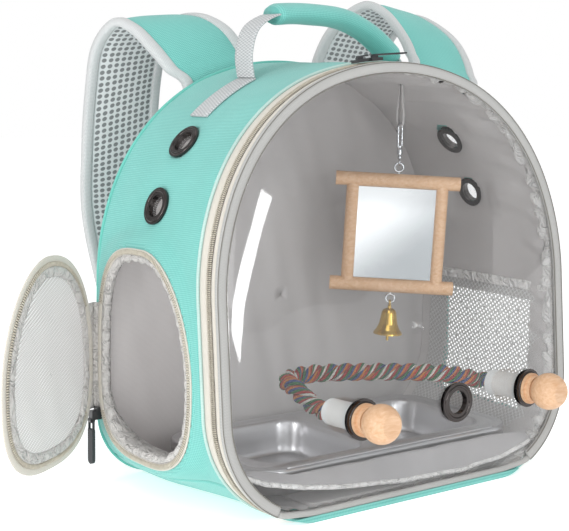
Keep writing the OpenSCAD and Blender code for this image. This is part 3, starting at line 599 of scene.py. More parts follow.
# ---- Lining ----
# Thin grey polyester, loose inside the foam wall and gathered into a pale hem at the front.
# Soft pulled folds run over the crown and the right wall; the upright back sheet hangs in shallow folds.
# thin plain-woven polyester: a faint sheen that shows every fold, paler and crushed at the hem
grey_lining = woven("grey_polyester_lining", "#D2CECD", "#B4B0AF", 1.5, turn=45, depth=0.22, rough=0.62,
                    sheen=0.15, cast=0.05)
pale_hem_cloth = woven("pale_gathered_hem_cloth", "#F3F1EF", "#DEDBD9", 1.5, turn=45, depth=0.25, rough=0.55,
                       sheen=0.2, cast=0.05, creases=0.9)


def lining_push(grid):
    """How far the lining stands in from the wall: gathers in front, folds that die out to the back."""
    back_way = grid[..., 1] - rim_y(grid[..., 2])
    run = np.repeat(along[:, None], steps, 1)
    crowding = 1 + ripple(run / 26, back_way / 120, 11, low=1.5, high=3.5)
    gathers = 2.3 * np.exp(-((back_way - 14) / 24) ** 2) * crowding
    free = ease((grid[..., 2] - 165) / 60)
    hang = 2.0 + 4.2 * ripple(run / 76, back_way / 420, 5, low=0.8, high=2.2)
    folds = free * hang * ease((back_way - 14) / 34)
    folds = folds * ease((190 - back_way) / 60)
    calm = ease((np.abs(grid[..., 1] - 22) - 20) / 24) + ease((np.abs(grid[..., 2] - 275) - 44) / 26)
    calm = np.where(np.abs(grid[..., 0]) > 110, np.clip(calm, 0, 1), 1)
    return -(np.clip(gathers, 0, 6) + np.clip(folds, 0, 8) * calm)


inner = wall_grid(line, LINING_IN, LINING_FRONT, LINING_BACK, lining_push)
flat_wall = wall_grid(line, LINING_IN, LINING_FRONT, LINING_BACK)
run = np.repeat(along[:, None], steps, 1)
uv = np.stack([run, inner[..., 1]], -1)
gap, near = from_edge(flat_wall[..., 1], flat_wall[..., 2], side_arch(-4.0))
left = flat_wall[..., 0] < -100
edge_band = left & (np.abs(gap) < SNAP_BAND)
snap_to(inner, edge_band, near)
keep = whole_quads(cut_wall(flat_wall, gap, left, edge_band))
dress(cloth_grid("gusset_lining_sheet", inner, uv, keep), grey_lining, "shell", "grey_lining",
      "gusset_lining")

hem_steps = 15
v = np.linspace(0, 1, hem_steps)
hem_line, hem_along = rim_line(1121)
behind = 3.2 + 15.5 * v[None]
wave = 0.5 + 0.7 * ripple(hem_along[:, None] / 34, v[None] * 0.35, 23, low=1.4, high=3.0)
swell = np.sin(np.pi * np.clip(v, 0.02, 0.98))[None] ** 0.5
depth = 4.3 + 6.2 * wave * swell * ease((hem_line[:, None, 1] - 12) / 40 + 0.35)
behind = behind + 1.4 * ripple(hem_along[:, None] / 30, v[None], 29, low=0.8, high=2.0) * v[None]
hem = behind_rim(hem_line[:, None], depth, behind)
uv = np.stack([np.repeat(hem_along[:, None], hem_steps, 1), behind], -1)
dress(cloth_grid("gathered_front_hem", hem, uv, thick=0.5), pale_hem_cloth, "shell", "grey_lining")


def hanging_back(x, z, share):
    """The back sheet's folds: shallow, mostly upright, flat at its sewn edge."""
    loose = ease((1 - share) / 0.12)
    return 95.9 - loose * (4.2 + 4.6 * ripple(x / 150, z / 380, 8, low=0.8, high=2.0)
                           + 1.2 * ripple(x / 70 + z / 200, z / 300, 9))


back, uv_back = radial_grid(line, 4.4, shares, hanging_back)
dress(cloth_grid("back_lining_sheet", back, uv_back, thick=1.0, flip=True), grey_lining, "shell",
      "grey_lining", "back_lining")

board_rings = []
for z, out_by in ((4.3, -1.2), (4.6, -0.3), (5.2, 0.0), (7.4, 0.0), (8.0, -0.3), (8.2, -1.4)):
    corners = [(x + sx * out_by + 9 * math.cos(a), y + sy * out_by + 9 * math.sin(a), z)
               for (x, y, sx, sy, a0) in ((91, 84, 1, 1, 0), (-91, 84, -1, 1, 90), (-91, -76.5, -1, -1, 180),
                                          (91, -76.5, 1, -1, 270))
               for a in np.radians(np.linspace(a0, a0 + 90, 7))]
    board_rings.append(corners)
dress(skin_rings("covered_floor_board", np.array(board_rings)), grey_lining, "shell", "stiff_board",
      "floor_board")

# ---- Side eyelets and their mesh discs ----
# Spun brass rings plated dark gunmetal, pressed together through wall and lining, two on each side.
# Each is closed by a disc of grey net caught between its halves.
def plated(name, colour, scale, detail, low, high):
    """Polished plate whose roughness is smeared between two values."""
    material, tree, out = new_material(name)
    smear = add(tree, "ShaderNodeTexNoise",
                {"Vector": add(tree, "ShaderNodeTexCoord").outputs["Object"], "Scale": scale,
                                             "Detail": detail})
    rough = add(tree, "ShaderNodeMapRange", {0: smear.outputs[0], 3: low, 4: high})
    plate = add(tree, "ShaderNodeBsdfPrincipled",
                {"Base Color": linear(colour), "Metallic": 1.0, "Roughness": rough.outputs[0]})
    tree.links.new(plate.outputs[0], out.inputs[0])
    return material


# polished dark plate: deep reflections with a slight smear
gunmetal = plated("polished_gunmetal_plate", "#4A4645", 120.0, 5.0, 0.1, 0.24)
paint_node(gunmetal, "side_eyelets", "window_eyelets")


def net(name, thread, pitch, open_share, turn=45.0, ratio=1.0, jitter=0.0, shadow=None):
    """Knitted net at a pitch in mm on the piece's cloth map: real openings between threads, or, where a
    shadow colour is given, openings painted in shade.
    """
    material, tree, out = new_material(name)
    place = add(tree, "ShaderNodeMapping", {"Vector": add(tree, "ShaderNodeUVMap", uv_map="cloth").outputs[0],
                                            "Rotation": (0, 0, math.radians(turn)),
                                            "Scale": (1000 / pitch, 1000 / pitch / ratio, 1)})
    cells = add(tree, "ShaderNodeTexVoronoi",
                {"Vector": place.outputs[0], "Scale": 1.0, "Randomness": jitter}, feature="F1",
                distance="EUCLIDEAN")
    hole = add(tree, "ShaderNodeMapRange",
               {0: cells.outputs["Distance"], 1: open_share * 0.62, 2: open_share * 0.62 + 0.1})
    # where a shadow colour is given, the openings are painted shade rather than cut through
    tone = add(tree, "ShaderNodeMix", {0: hole.outputs[0], 6: linear(shadow or thread), 7: linear(thread)},
               data_type="RGBA")
    bump = add(tree, "ShaderNodeBump", {"Strength": 0.6, "Distance": 0.0005, "Height": hole.outputs[0]})
    cord = add(tree, "ShaderNodeBsdfPrincipled",
               {"Base Color": tone.outputs[2], "Roughness": 0.8, "Sheen Weight": 0.2,
                                                  "Normal": bump.outputs[0]})
    if shadow:
        tree.links.new(cord.outputs[0], out.inputs[0])
    else:
        clear = add(tree, "ShaderNodeBsdfTransparent")
        both = add(tree, "ShaderNodeMixShader", {0: hole.outputs[0], 1: clear.outputs[0], 2: cord.outputs[0]})
        tree.links.new(both.outputs[0], out.inputs[0])
    return material


# fine knitted net: what is behind shows between its pale threads
disc_net = net("grey_disc_net", "#C9C7C6", 1.6, 0.8, turn=20)


def shell_wall(z):
    """Half width of the shell at a height above its lower corners."""
    if z > wall_c[1] + wall_r * math.cos(SHOULDER_A):
        return shoulder_c[0] + math.sqrt(SHOULDER_R ** 2 - (z - shoulder_c[1]) ** 2)
    return wall_c[0] + math.sqrt(wall_r ** 2 - max(z - wall_c[1], 0) ** 2)


def joined(pieces, name):
    """Several pieces made into one."""
    bpy.ops.object.select_all(action="DESELECT")
    for piece in pieces:
        piece.select_set(True)
    bpy.context.view_layer.objects.active = pieces[0]
    bpy.ops.object.join()
    pieces[0].name = name
    return pieces[0]


DISC_R, DISC_BELOW, DISC_BOW = 9.4, 3.0, 0.8
spokes, hoops = np.linspace(0, 2 * math.pi, 33), np.linspace(0.05, DISC_R, 6)
discs = []
for side in (-1, 1):
    for y, z in VENTS:
        slope = shell_wall(z + 0.5) - shell_wall(z - 0.5)
        normal = Vector((side, 0, -slope)).normalized()
        centre = Vector((side * shell_wall(z), y, z)) - normal * DISC_BELOW
        along_y = Vector((0, 1, 0))
        across = normal.cross(along_y).normalized()
        grid = [[centre + (across * math.cos(a) + along_y * math.sin(a)) * r
                 - normal * DISC_BOW * (1 - (r / DISC_R) ** 2)
                 for a in spokes] for r in hoops]
        flat = [[(r * math.cos(a), r * math.sin(a)) for a in spokes] for r in hoops]
        discs.append(cloth_grid("vent_disc", np.array([[list(p) for p in row] for row in grid]),
                                np.array(flat), thick=0.4))
dress(joined(discs, "vent_mesh_discs"), disc_net, "shell", "thin_mesh", "eyelet_mesh")

# ---- Clear front door ----
# A sheet of clear soft vinyl, domed by its cut and sewn all round into a folded ribbed binding.
# Three eyelets go through it; a second binding and a teal strip finish the shell's own lower edge.
# ribbed polyester ribbon: fine cross ribs, quite matt
binding_ribbon = woven("light_grey_ribbed_binding", "#C1C1BF", "#999997", 1.15, turn=0, depth=0.6,
                       stretch=0.28, cast=0.04)
fold = [(8.95, -0.7), (8.5, -1.6), (6.4, -2.2), (3.2, -2.3), (0.6, -2.1), (-0.3, -1.3), (-0.6, 0.0),
        (-0.4, 1.2), (0.3, 2.0), (3.0, 2.35), (6.6, 2.3), (8.5, 1.6), (8.95, 0.7)]
dress(rim_strip("window_binding", fold, door_rows), binding_ribbon, "front_door", "grey_webbing",
      "front_binding")
# spun sewing thread, coloured dark as a painted shadow of the crevices at the binding's edges: matt, so that
# it reads as a thin line
seam_shade, tree, out = new_material("painted_shadow_seam_line")
seam_shadow_shader = add(tree, "ShaderNodeBsdfPrincipled", {"Base Color": linear("#77756F"), "Roughness": 0.8})
tree.links.new(seam_shadow_shader.outputs[0], out.inputs[0])
# thin dark beads at both edges of the binding: painted shadow lines where it meets the window and the zip
for name, depth, behind, radius in (("binding_inner_seam", 8.7, -1.7, 0.5),
                                    ("binding_outer_seam", 0.1, -2.2, 0.42)):
    dress(rim_strip(name, bead(depth, behind, radius, 6), door_rows), seam_shade, "front_door",
          "grey_webbing", "front_binding")
foot = rim_rows(z_high=9.6, count=321)
sink = 4.4 * (1 - ease(foot[:, 1] / 9.0))
rings = []
for (x, z, ox, oz), low in zip(foot, sink):
    rings.append([(x - ox * (d * 0.52 + low), rim_y(z - oz * (d * 0.52 + low)) + b,
                   z - oz * (d * 0.52 + low)) for d, b in fold])
dress(skin_rings("foot_binding", np.array(rings)), binding_ribbon, "shell", "grey_webbing", "base_strip")
rise = np.array([0.2, 1.0, 1.9, 2.8, 3.5, 3.9])
reach = HALF_WIDTH - CORNER_R + np.sqrt(CORNER_R ** 2 - (CORNER_R - rise) ** 2) - 0.4
across = np.linspace(-1, 1, 161)[:, None] * reach[None]
strip = np.stack([across, rim_y(rise)[None] - 1.2 - 0.9 * np.sin(np.pi * (rise / 4.1))[None] + 0 * across,
                  rise[None] + 0 * across], -1)
dress(cloth_grid("teal_foot_strip", strip, strip[..., [0, 2]], thick=1.6, flip=True), teal_oxford, "shell",
      "teal_oxford", "base_strip")
dress(rim_strip("teal_foot_edge", [(-0.1, -0.2), (-0.2, 8.0), (2.0, 8.0), (2.2, -0.2)], foot_rows),
      teal_oxford, "shell", "teal_oxford", "base_strip")

BIND, BULGE, FLANGE_IN = 9.0, 14.0, 4.0
window_line, _ = rim_line(561)
edge = np.stack(under_skin(window_line, BIND), 1)
middle = np.array([0.0, 150.0])


def dome_share(x, z):
    """0 in the middle of the window and 1 at its binding."""
    p, q = edge[:-1] - middle, edge[1:] - middle
    way = np.stack([q[:, 1] - p[:, 1], p[:, 0] - q[:, 0]], 1)
    ok = np.hypot(*way.T) > 0.01
    return float(((way[ok] @ (np.array([x, z]) - middle)) / (way[ok] * p[ok]).sum(1)).max())


def dome_y(x, z):
    """Where the clear sheet lies."""
    return rim_y(z) - BULGE * (1 - min(dome_share(x, z), 1) ** 4)


def dome_out(x, z):
    """The clear sheet's outward direction."""
    return Vector((dome_y(x + 0.5, z) - dome_y(x - 0.5, z), -1,
                   dome_y(x, z + 0.5) - dome_y(x, z - 0.5))).normalized()


EYELETS = (-65.0, 42.5, 135.5)
EYELET_Z, EYELET_CUT, EYELET_SNAP, EYELET_INSIDE = 79.5, 11.8, 2.2, 9.6
dome_steps = np.concatenate([[0.004], np.linspace(0.05, 0.9, 48), [0.94, 0.97, 0.99, 1.0]])
flat = middle + (edge - middle)[:, None] * dome_steps[None, :, None]
y = rim_y(flat[..., 1]) - BULGE * (1 - dome_steps[None] ** 4)
y = y - 0.25 * ripple(flat[..., 0] / 160, flat[..., 1] / 200, 31) * (1 - dome_steps[None] ** 6)
sheet = np.stack([flat[..., 0], y, flat[..., 1]], -1)
solid = np.ones(flat.shape[:2], bool)
for x in EYELETS:
    reach = np.hypot(flat[..., 0] - x, flat[..., 1] - EYELET_Z)
    near_hole = np.abs(reach - EYELET_CUT) < EYELET_SNAP
    pull = np.where(near_hole, EYELET_CUT / np.maximum(reach, 0.1), 1.0)
    sheet[..., 0] = x + (sheet[..., 0] - x) * pull
    sheet[..., 2] = EYELET_Z + (sheet[..., 2] - EYELET_Z) * pull
    solid &= reach > EYELET_INSIDE
sheet = np.concatenate([sheet, behind_rim(window_line, FLANGE_IN, 0)[:, None]], 1)
solid = np.concatenate([solid, solid[:, -1:]], 1)
solid &= sheet[..., 2] > 9.0
keep = whole_quads(solid)
# soft vinyl sheet: clear seen straight, a mirror at a slant, with slow waves in what it mirrors
clear_vinyl, tree, out = new_material("clear_soft_vinyl")
streak = add(tree, "ShaderNodeTexNoise",
             {"Vector": add(tree, "ShaderNodeTexCoord").outputs["Object"], "Scale": 9.0, "Detail": 1.0})
wavy = add(tree, "ShaderNodeBump", {"Strength": 0.25, "Distance": 0.002, "Height": streak.outputs[0]})
shine = add(tree, "ShaderNodeBsdfPrincipled", {"Base Color": (1, 1, 1, 1), "Metallic": 1.0, "Roughness": 0.04,
                                               "Normal": wavy.outputs[0]})
through = add(tree, "ShaderNodeBsdfTransparent", {"Color": (0.965, 0.972, 0.975, 1)})
facing = add(tree, "ShaderNodeLayerWeight", {"Blend": 0.5, "Normal": wavy.outputs[0]})
steep = add(tree, "ShaderNodeMath", {0: facing.outputs["Facing"], 1: 4.0}, operation="POWER")
edge_gloss = add(tree, "ShaderNodeMapRange", {0: steep.outputs[0], 3: 0.035, 4: 0.75})
both = add(tree, "ShaderNodeMixShader",
           {0: edge_gloss.outputs[0], 1: through.outputs[0], 2: shine.outputs[0]})
tree.links.new(both.outputs[0], out.inputs[0])
dress(cloth_grid("domed_clear_window", sheet, sheet[..., [0, 2]], keep, thick=0.9, flip=True), clear_vinyl,
      "front_door", "clear_sheet", "front_window")

glint_light = area_light("window_glint", (0.12, -1.53, 0.37), (0.11, 0.66), 3.0)
along_strip = Vector((0.347, 0.121, 0.571)).normalized()
back_to = (Vector(glint_light.location) - Vector((-0.163, -0.085, 0.216))).normalized()
across_strip = along_strip.cross(back_to).normalized()
glint_light.rotation_euler = Matrix((across_strip, back_to.cross(across_strip),
                                     back_to)).transposed().to_euler()
glint_light.visible_diffuse = False

# ---- Rope perch ----
# Three strands of dyed cotton yarns are laid round a stiff wire, which is why the perch keeps its curve.
# Its ends sit in white nylon caps bolted through the window to two turned beech knobs.
def smooth_run(points, count, doubled=False):
    """A smooth curve through the given points, which runs on straight at its ends or doubles them."""
    p = np.array(points, float)
    before, after = (p[:1], p[-1:]) if doubled else (2 * p[:1] - p[1:2], 2 * p[-1:] - p[-2:-1])
    p = np.vstack([before, p, after])
    run = []
    for i in range(1, len(p) - 2):
        t = np.linspace(0, 1, count, endpoint=False)[:, None]
        a, b, c, d = p[i - 1:i + 3]
        run.append(0.5 * (2 * b + (c - a) * t + (2 * a - 5 * b + 4 * c - d) * t ** 2
                          + (3 * b - a - 3 * c + d) * t ** 3))
    return np.vstack(run + [p[-2:-1]])


def heading(run):
    """The direction at each point of a run."""
    step = np.gradient(run, axis=0)
    return step / np.linalg.norm(step, axis=1)[:, None]


def window_point(index, out_by):
    """A point straight out from one of the window's eyelets."""
    x = EYELETS[index]
    return Vector((x, dome_y(x, EYELET_Z), EYELET_Z)) + dome_out(x, EYELET_Z) * out_by


ROPE_D, LAY = 16.6, 46.0
rope_run = smooth_run([window_point(0, -20), window_point(0, -36), window_point(0, -60), (-66, -18, 88.5),
                       (-57, 5, 89.5), (-34, 14, 90), (-5, 8, 90), (45, -12, 88.5), (95, -38, 85.5),
                       window_point(2, -56), window_point(2, -36), window_point(2, -20)], 16)
side = np.cross(heading(rope_run), [0, 0, 1.0])
side /= np.linalg.norm(side, axis=1)[:, None]
over, s = np.cross(side, heading(rope_run)), lengths(rope_run)
strand_r = ROPE_D / 2 / 2.155 * 1.06
strands = []
for k in range(3):
    phase = 2 * np.pi * (k / 3 + s / LAY)
    centre = rope_run + (ROPE_D / 2 - strand_r) * (np.cos(phase)[:, None] * side
                                                   + np.sin(phase)[:, None] * over)
    around = np.linspace(0, 2 * np.pi, 25)
    lumps = 1 + 0.07 * np.cos(9 * (around[None] - phase[:, None] * 1.9))
    ring = centre[:, None] + (strand_r * lumps)[..., None] * (np.cos(around)[None, :, None] * side[:, None]
                                                              + np.sin(around)[None, :, None] * over[:, None])
    uv = np.stack([np.repeat(s[:, None], 25, 1),
                   (around[None] - phase[:, None] * 1.9) / (2 * np.pi) * 1000 + 317.0 * k], -1)
    strands.append(cloth_grid("strand", ring, uv, flip=True))
rope = joined(strands, "cotton_rope_perch")
# spun cotton, each yarn its own dye: matt and hairy, in bands that follow the lay
dyed_cotton, tree, out = new_material("dyed_cotton_yarns")
axes = add(tree, "ShaderNodeSeparateXYZ", {0: add(tree, "ShaderNodeUVMap", uv_map="cloth").outputs[0]})
yarn = add(tree, "ShaderNodeMath", {0: axes.outputs[1], 1: 1.0}, operation="FRACT")
ramp = tree.nodes.new("ShaderNodeValToRGB")
ramp.color_ramp.interpolation = "CONSTANT"
tree.links.new(yarn.outputs[0], ramp.inputs[0])
DYES = ("#B4201C", "#F0EAE2", "#1F7038", "#C2301F", "#E0801C", "#24498C", "#1F7038")
while len(ramp.color_ramp.elements) < len(DYES):
    ramp.color_ramp.elements.new(0.5)
for k, dye in enumerate(DYES):
    ramp.color_ramp.elements[k].position = k / len(DYES)
    ramp.color_ramp.elements[k].color = linear(dye)
fuzz = add(tree, "ShaderNodeTexNoise",
           {"Vector": add(tree, "ShaderNodeTexCoord").outputs["Object"], "Scale": 700.0, "Detail": 3.0})
fade = add(tree, "ShaderNodeHueSaturation",
           {"Color": ramp.outputs[0], "Value": add(tree, "ShaderNodeMapRange", {
    0: fuzz.outputs[0], 1: 0.3, 2: 0.7, 3: 0.62, 4: 1.1}).outputs[0]})
twist = add(tree, "ShaderNodeMath",
            {0: add(tree, "ShaderNodeMath", {0: axes.outputs[1], 1: 2 * math.pi * len(DYES)},
                    operation="MULTIPLY").outputs[0]}, operation="SINE")
top = add(tree, "ShaderNodeMath", {0: fuzz.outputs[0], 1: 1.2, 2: twist.outputs[0]}, operation="MULTIPLY_ADD")
bump = add(tree, "ShaderNodeBump", {"Strength": 0.8, "Distance": 0.0012, "Height": top.outputs[0]})
yarns = add(tree, "ShaderNodeBsdfPrincipled",
            {"Base Color": fade.outputs[0], "Roughness": 0.9, "Sheen Weight": 0.05,
                                               "Normal": bump.outputs[0]})
tree.links.new(yarns.outputs[0], out.inputs[0])
dress(rope, dyed_cotton, "front_door", "cotton_rope", "perch_rope")

# turned and sanded beech: pale fine grain with small darker flecks, barely shiny
beech, tree, out = new_material("sanded_beech")
coords = add(tree, "ShaderNodeTexCoord")
grain_place = add(tree, "ShaderNodeMapping",
                  {"Vector": coords.outputs["Object"], "Rotation": (0.3, 0.2, 0.65), "Scale": (60, 420, 420)})
grain = add(tree, "ShaderNodeTexNoise",
            {"Vector": grain_place.outputs[0], "Scale": 1.0, "Detail": 4.0, "Roughness": 0.6,
             "Distortion": 0.4})
rays_place = add(tree, "ShaderNodeMapping", {"Vector": coords.outputs["Object"], "Scale": (900, 240, 900)})
rays = add(tree, "ShaderNodeTexNoise", {"Vector": rays_place.outputs[0], "Scale": 1.0, "Detail": 2.0})
wood_tone = add(tree, "ShaderNodeMix",
                {0: add(tree, "ShaderNodeMapRange", {0: grain.outputs[0], 1: 0.32, 2: 0.68}).outputs[0],
                                        6: linear("#CFA27B"), 7: linear("#E0BC9A")}, data_type="RGBA")
flecks = add(tree, "ShaderNodeMix",
             {0: add(tree, "ShaderNodeMapRange",
                     {0: rays.outputs[0], 1: 0.62, 2: 0.75, 3: 0.0, 4: 0.35}).outputs[0],
                                     6: wood_tone.outputs[2], 7: linear("#C0906A")}, data_type="RGBA")
bump = add(tree, "ShaderNodeBump", {"Strength": 0.12, "Distance": 0.0003, "Height": grain.outputs[0]})
timber = add(tree, "ShaderNodeBsdfPrincipled",
             {"Base Color": flecks.outputs[2], "Roughness": 0.48, "Normal": bump.outputs[0],
                                                "Coat Weight": 0.08, "Coat Roughness": 0.4})
tree.links.new(timber.outputs[0], out.inputs[0])
paint_node(beech, "perch_knob_left", "perch_knob_right", "cross_dowels", "side_dowels")

# moulded nylon: an even off-white with a soft broad highlight
white_nylon = speckled("moulded_white_nylon", "#E4E6E6", "#F1F3F2", 300.0, 0.4, bump=0.1)
paint_node(white_nylon, "perch_sleeves")

# ---- Side opening and its door ----
# A beige tape ring with a nylon coil faces the leaf; a strip of gathered grey lining runs inwards from it.
# The leaf has the same tape and coil, then a crumpled grey border round a panel of fine net.
COLLAR_X, LEAF_X = -198.0, -200.3
HINGE = np.array([-200.3, 96.0])
OPEN, HINGE_Z, OPENING_MIDDLE = math.radians(57), (66, 160), np.array([20.0, 112.0])
LEAF_EDGE = {"top": 101.0, "rear": (2.3, 2.7)}


def arch_ring(grow, x, count=288, **shape):
    """The opening's or the leaf's outline, grown, at a distance out."""
    edge = side_arch(grow, count, **shape)
    return np.stack([np.full(count, x) if np.isscalar(x) else x, edge[:, 0], edge[:, 1]], -1)


def swung(points):
    """Points of the closed leaf turned to where it stands open."""
    out_by, back_by = points[..., 0] - HINGE[0], points[..., 1] - HINGE[1]
    c, s = math.cos(-OPEN), math.sin(-OPEN)
    return np.stack([HINGE[0] + c * out_by - s * back_by, HINGE[1] + s * out_by + c * back_by,
                     points[..., 2]], -1)


def looped(name, section, count=288, move=None, wobble=None):
    """A closed strip round the opening, or round the leaf if it is moved. Its section runs in (growth, x)."""
    rings = []
    for k, (grow, x) in enumerate(section):
        ring = arch_ring(grow, x, count, **(LEAF_EDGE if move else {}))
        if wobble is not None:
            ring = wobble(ring, k)
        rings.append(ring)
    rings = np.stack(rings, 1)
    rings = np.concatenate([rings, rings[:1]], 0)
    return skin_rings(name, move(rings) if move else rings, closed=True)


def clear_of_hinge(ring, y_from):
    """The order of an outline's points that starts past the cloth hinge and ends before it."""
    off_hinge = ~((ring[:, 1] > y_from) & (ring[:, 2] > HINGE_Z[0]) & (ring[:, 2] < HINGE_Z[1]))
    start = int(np.nonzero(off_hinge & ~np.roll(off_hinge, 1))[0][0])
    order = np.roll(np.arange(len(ring)), -start)
    return order[off_hinge[order]]


tape = looped("collar_tape", [(-0.2, COLLAR_X + 0.2), (-1.0, COLLAR_X - 0.1), (-5.2, COLLAR_X),
                              (-5.8, COLLAR_X + 0.8), (-5.8, COLLAR_X + 3.5), (-5.2, COLLAR_X + 3.5),
                              (-5.0, COLLAR_X + 1.4), (-0.4, COLLAR_X + 1.4)])
dress(tape, zip_tape, "shell", "beige_tape", "door_collar")
ring = arch_ring(-3.2, COLLAR_X - 0.2)
order = clear_of_hinge(ring, 82)
DOOR_COIL_PITCH, door_tooth = 2.1, bent_thread("door_coil_turn", 3.4, 0.9, 0.6)
collar_coil = part_row("collar_coil", ring[order], np.tile([-1.0, 0, 0], (len(order), 1)), DOOR_COIL_PITCH,
                       door_tooth, nylon_coil)
dress(collar_coil, nylon_coil, "shell", "zip_coil", "collar_teeth")

# thin polyester gathered tight: sharp small creases that catch the light
crumpled = woven("crumpled_grey_border", "#D9D7D4", "#B9B6B3", 1.4, turn=45, depth=0.3, rough=0.55, cast=0.08,
                 creases=1.0)


def collar_gathers(ring, k):
    """Gathers of the strip between the collar and the lining."""
    rng = np.arange(len(ring))
    amount = (0, 0.5, 1.4, 1.7, 1.1, 0.3, 0, 0)[k]
    wave = ripple(rng / 14.0, 0.3 * k, 41, low=1.0, high=2.6)
    way = ring[:, 1:] - OPENING_MIDDLE
    way /= np.linalg.norm(way, axis=1)[:, None]
    ring = ring.copy()
    ring[:, 1] += way[:, 0] * amount * wave
    ring[:, 2] += way[:, 1] * amount * wave
    if k >= 5:
        wall = np.array([(HALF_WIDTH - CORNER_R + math.sqrt(max(CORNER_R ** 2 - (CORNER_R - z) ** 2, 1)))
                         if z < CORNER_R else HALF_WIDTH
                         for z in ring[:, 2]])
        ring[:, 0] = np.maximum(-(wall - 5.0), ring[:, 0]) if k < 7 else ring[:, 0]
    return ring


trim_rings = []
for k, (grow, x) in enumerate(((-5.9, -196.6), (-6.4, -197.4), (-8.5, -197.6), (-10.5, -196.4),
                               (-10.6, -194.0), (-8.0, -190.5))):
    trim_rings.append(collar_gathers(arch_ring(grow, x), k))
trim_rings = np.stack(trim_rings, 1)
trim_rings = np.concatenate([trim_rings, trim_rings[:1]], 0)
run = np.arange(trim_rings.shape[0]) * 1.9
uv = np.stack(np.meshgrid(run, np.arange(6) * 2.4, indexing="ij"), -1)
dress(cloth_grid("collar_gathered_trim", trim_rings, uv, thick=0.5), crumpled, "shell", "grey_lining",
      "collar_trim")

leaf_tape = looped("leaf_tape", [(0.3, LEAF_X - 0.6), (-0.2, LEAF_X - 0.1), (-8.0, LEAF_X),
                                 (-8.4, LEAF_X - 0.6), (-8.0, LEAF_X - 1.5), (-0.2, LEAF_X - 1.6),
                                 (0.3, LEAF_X - 1.1)], move=swung)
dress(leaf_tape, zip_tape, "side_door", "beige_tape", "door_tape")
ring = arch_ring(-6.7, LEAF_X + 0.2, **LEAF_EDGE)
order = clear_of_hinge(ring, 80)
coil_run = swung(ring[order])
inward = swung(np.array([[HINGE[0] + 1, HINGE[1], 0.0]]))[0] - np.array([HINGE[0], HINGE[1], 0])
inward[2] = 0
dress(part_row("leaf_coil", coil_run, np.tile(inward, (len(order), 1)), DOOR_COIL_PITCH, door_tooth,
               nylon_coil), nylon_coil, "side_door",
      "zip_coil", "door_teeth")


def leaf_crumple(ring, k):
    """Wrinkles of the leaf's soft border."""
    amount = (0.0, 0.5, 0.9, 0.9, 0.5, 0.0, 0.0, 0.0, 0.0, 0.0)[k]
    ring = ring.copy()
    ring[:, 0] += amount * ripple(np.arange(len(ring)) / 12.0, 0.4 * k, 43, low=0.8, high=2.4)
    return ring


border = looped("leaf_border", [(-8.6, LEAF_X + 0.6), (-9.6, LEAF_X + 1.5), (-12.0, LEAF_X + 1.7),
                                (-14.6, LEAF_X + 1.5), (-16.4, LEAF_X + 1.2), (-17.0, LEAF_X + 0.3),
                                (-16.6, LEAF_X - 1.0), (-13.0, LEAF_X - 1.6), (-9.6, LEAF_X - 1.6),
                                (-8.6, LEAF_X - 0.9)], move=swung, wobble=leaf_crumple)
dress(border, crumpled, "side_door", "grey_lining", "door_trim")
shares_net = np.linspace(0.004, 1, 30)
edge_net = side_arch(-16.4, **LEAF_EDGE)
edge_net = np.vstack([edge_net, edge_net[:1]])
flat = OPENING_MIDDLE + (edge_net - OPENING_MIDDLE)[:, None] * shares_net[None, :, None]
x = LEAF_X + 0.9 * ripple(flat[..., 0] / 90, flat[..., 1] / 110, 47) * (1 - shares_net[None] ** 4)
# knitted net: slanting pale lines with small gaps between them
leaf_net, tree, out = new_material("pale_striped_leaf_net")
place = add(tree, "ShaderNodeMapping", {"Vector": add(tree, "ShaderNodeUVMap", uv_map="cloth").outputs[0],
                                        "Rotation": (0, 0, math.radians(-28))})
axes = add(tree, "ShaderNodeSeparateXYZ", {0: place.outputs[0]})
lines = []
for axis, pitch in ((1, 3.0), (0, 1.8)):
    turns = add(tree, "ShaderNodeMath", {0: axes.outputs[axis], 1: 2 * math.pi * 1000 / pitch},
                operation="MULTIPLY")
    lines.append(add(tree, "ShaderNodeMath", {0: turns.outputs[0]}, operation="SINE"))
rib = add(tree, "ShaderNodeMapRange", {0: lines[0].outputs[0], 1: 0.1, 2: 0.9})
gaps = add(tree, "ShaderNodeMapRange", {0: rib.outputs[0], 3: 1.0, 4: 0.0})
ties = add(tree, "ShaderNodeMapRange", {0: lines[1].outputs[0], 1: -1.0, 2: 1.0, 3: 0.2, 4: 0.7})
hole = add(tree, "ShaderNodeMath", {0: gaps.outputs[0], 1: ties.outputs[0]}, operation="MULTIPLY")
tone = add(tree, "ShaderNodeMix", {0: rib.outputs[0], 6: linear("#F4F3F2"), 7: linear("#A3A19F")},
           data_type="RGBA")
bump = add(tree, "ShaderNodeBump", {"Strength": 0.5, "Distance": 0.0004, "Height": rib.outputs[0]},
           invert=True)
cord = add(tree, "ShaderNodeBsdfPrincipled",
           {"Base Color": tone.outputs[2], "Roughness": 0.7, "Sheen Weight": 0.2,
                                              "Normal": bump.outputs[0]})
clear = add(tree, "ShaderNodeBsdfTransparent")
both = add(tree, "ShaderNodeMixShader", {0: hole.outputs[0], 1: cord.outputs[0], 2: clear.outputs[0]})
tree.links.new(both.outputs[0], out.inputs[0])
dress(cloth_grid("leaf_net_panel", swung(np.stack([x, flat[..., 0], flat[..., 1]], -1)), flat, thick=0.3),
      leaf_net, "side_door", "thin_mesh", "door_mesh")

# moulded rubber: dull black with a fine grain
black_rubber = speckled("moulded_black_rubber", "#26272A", "#37393C", 800.0, 0.55, bump=0.25)
paint_node(black_rubber, "door_pull", "strap_left_buckle", "strap_right_buckle")
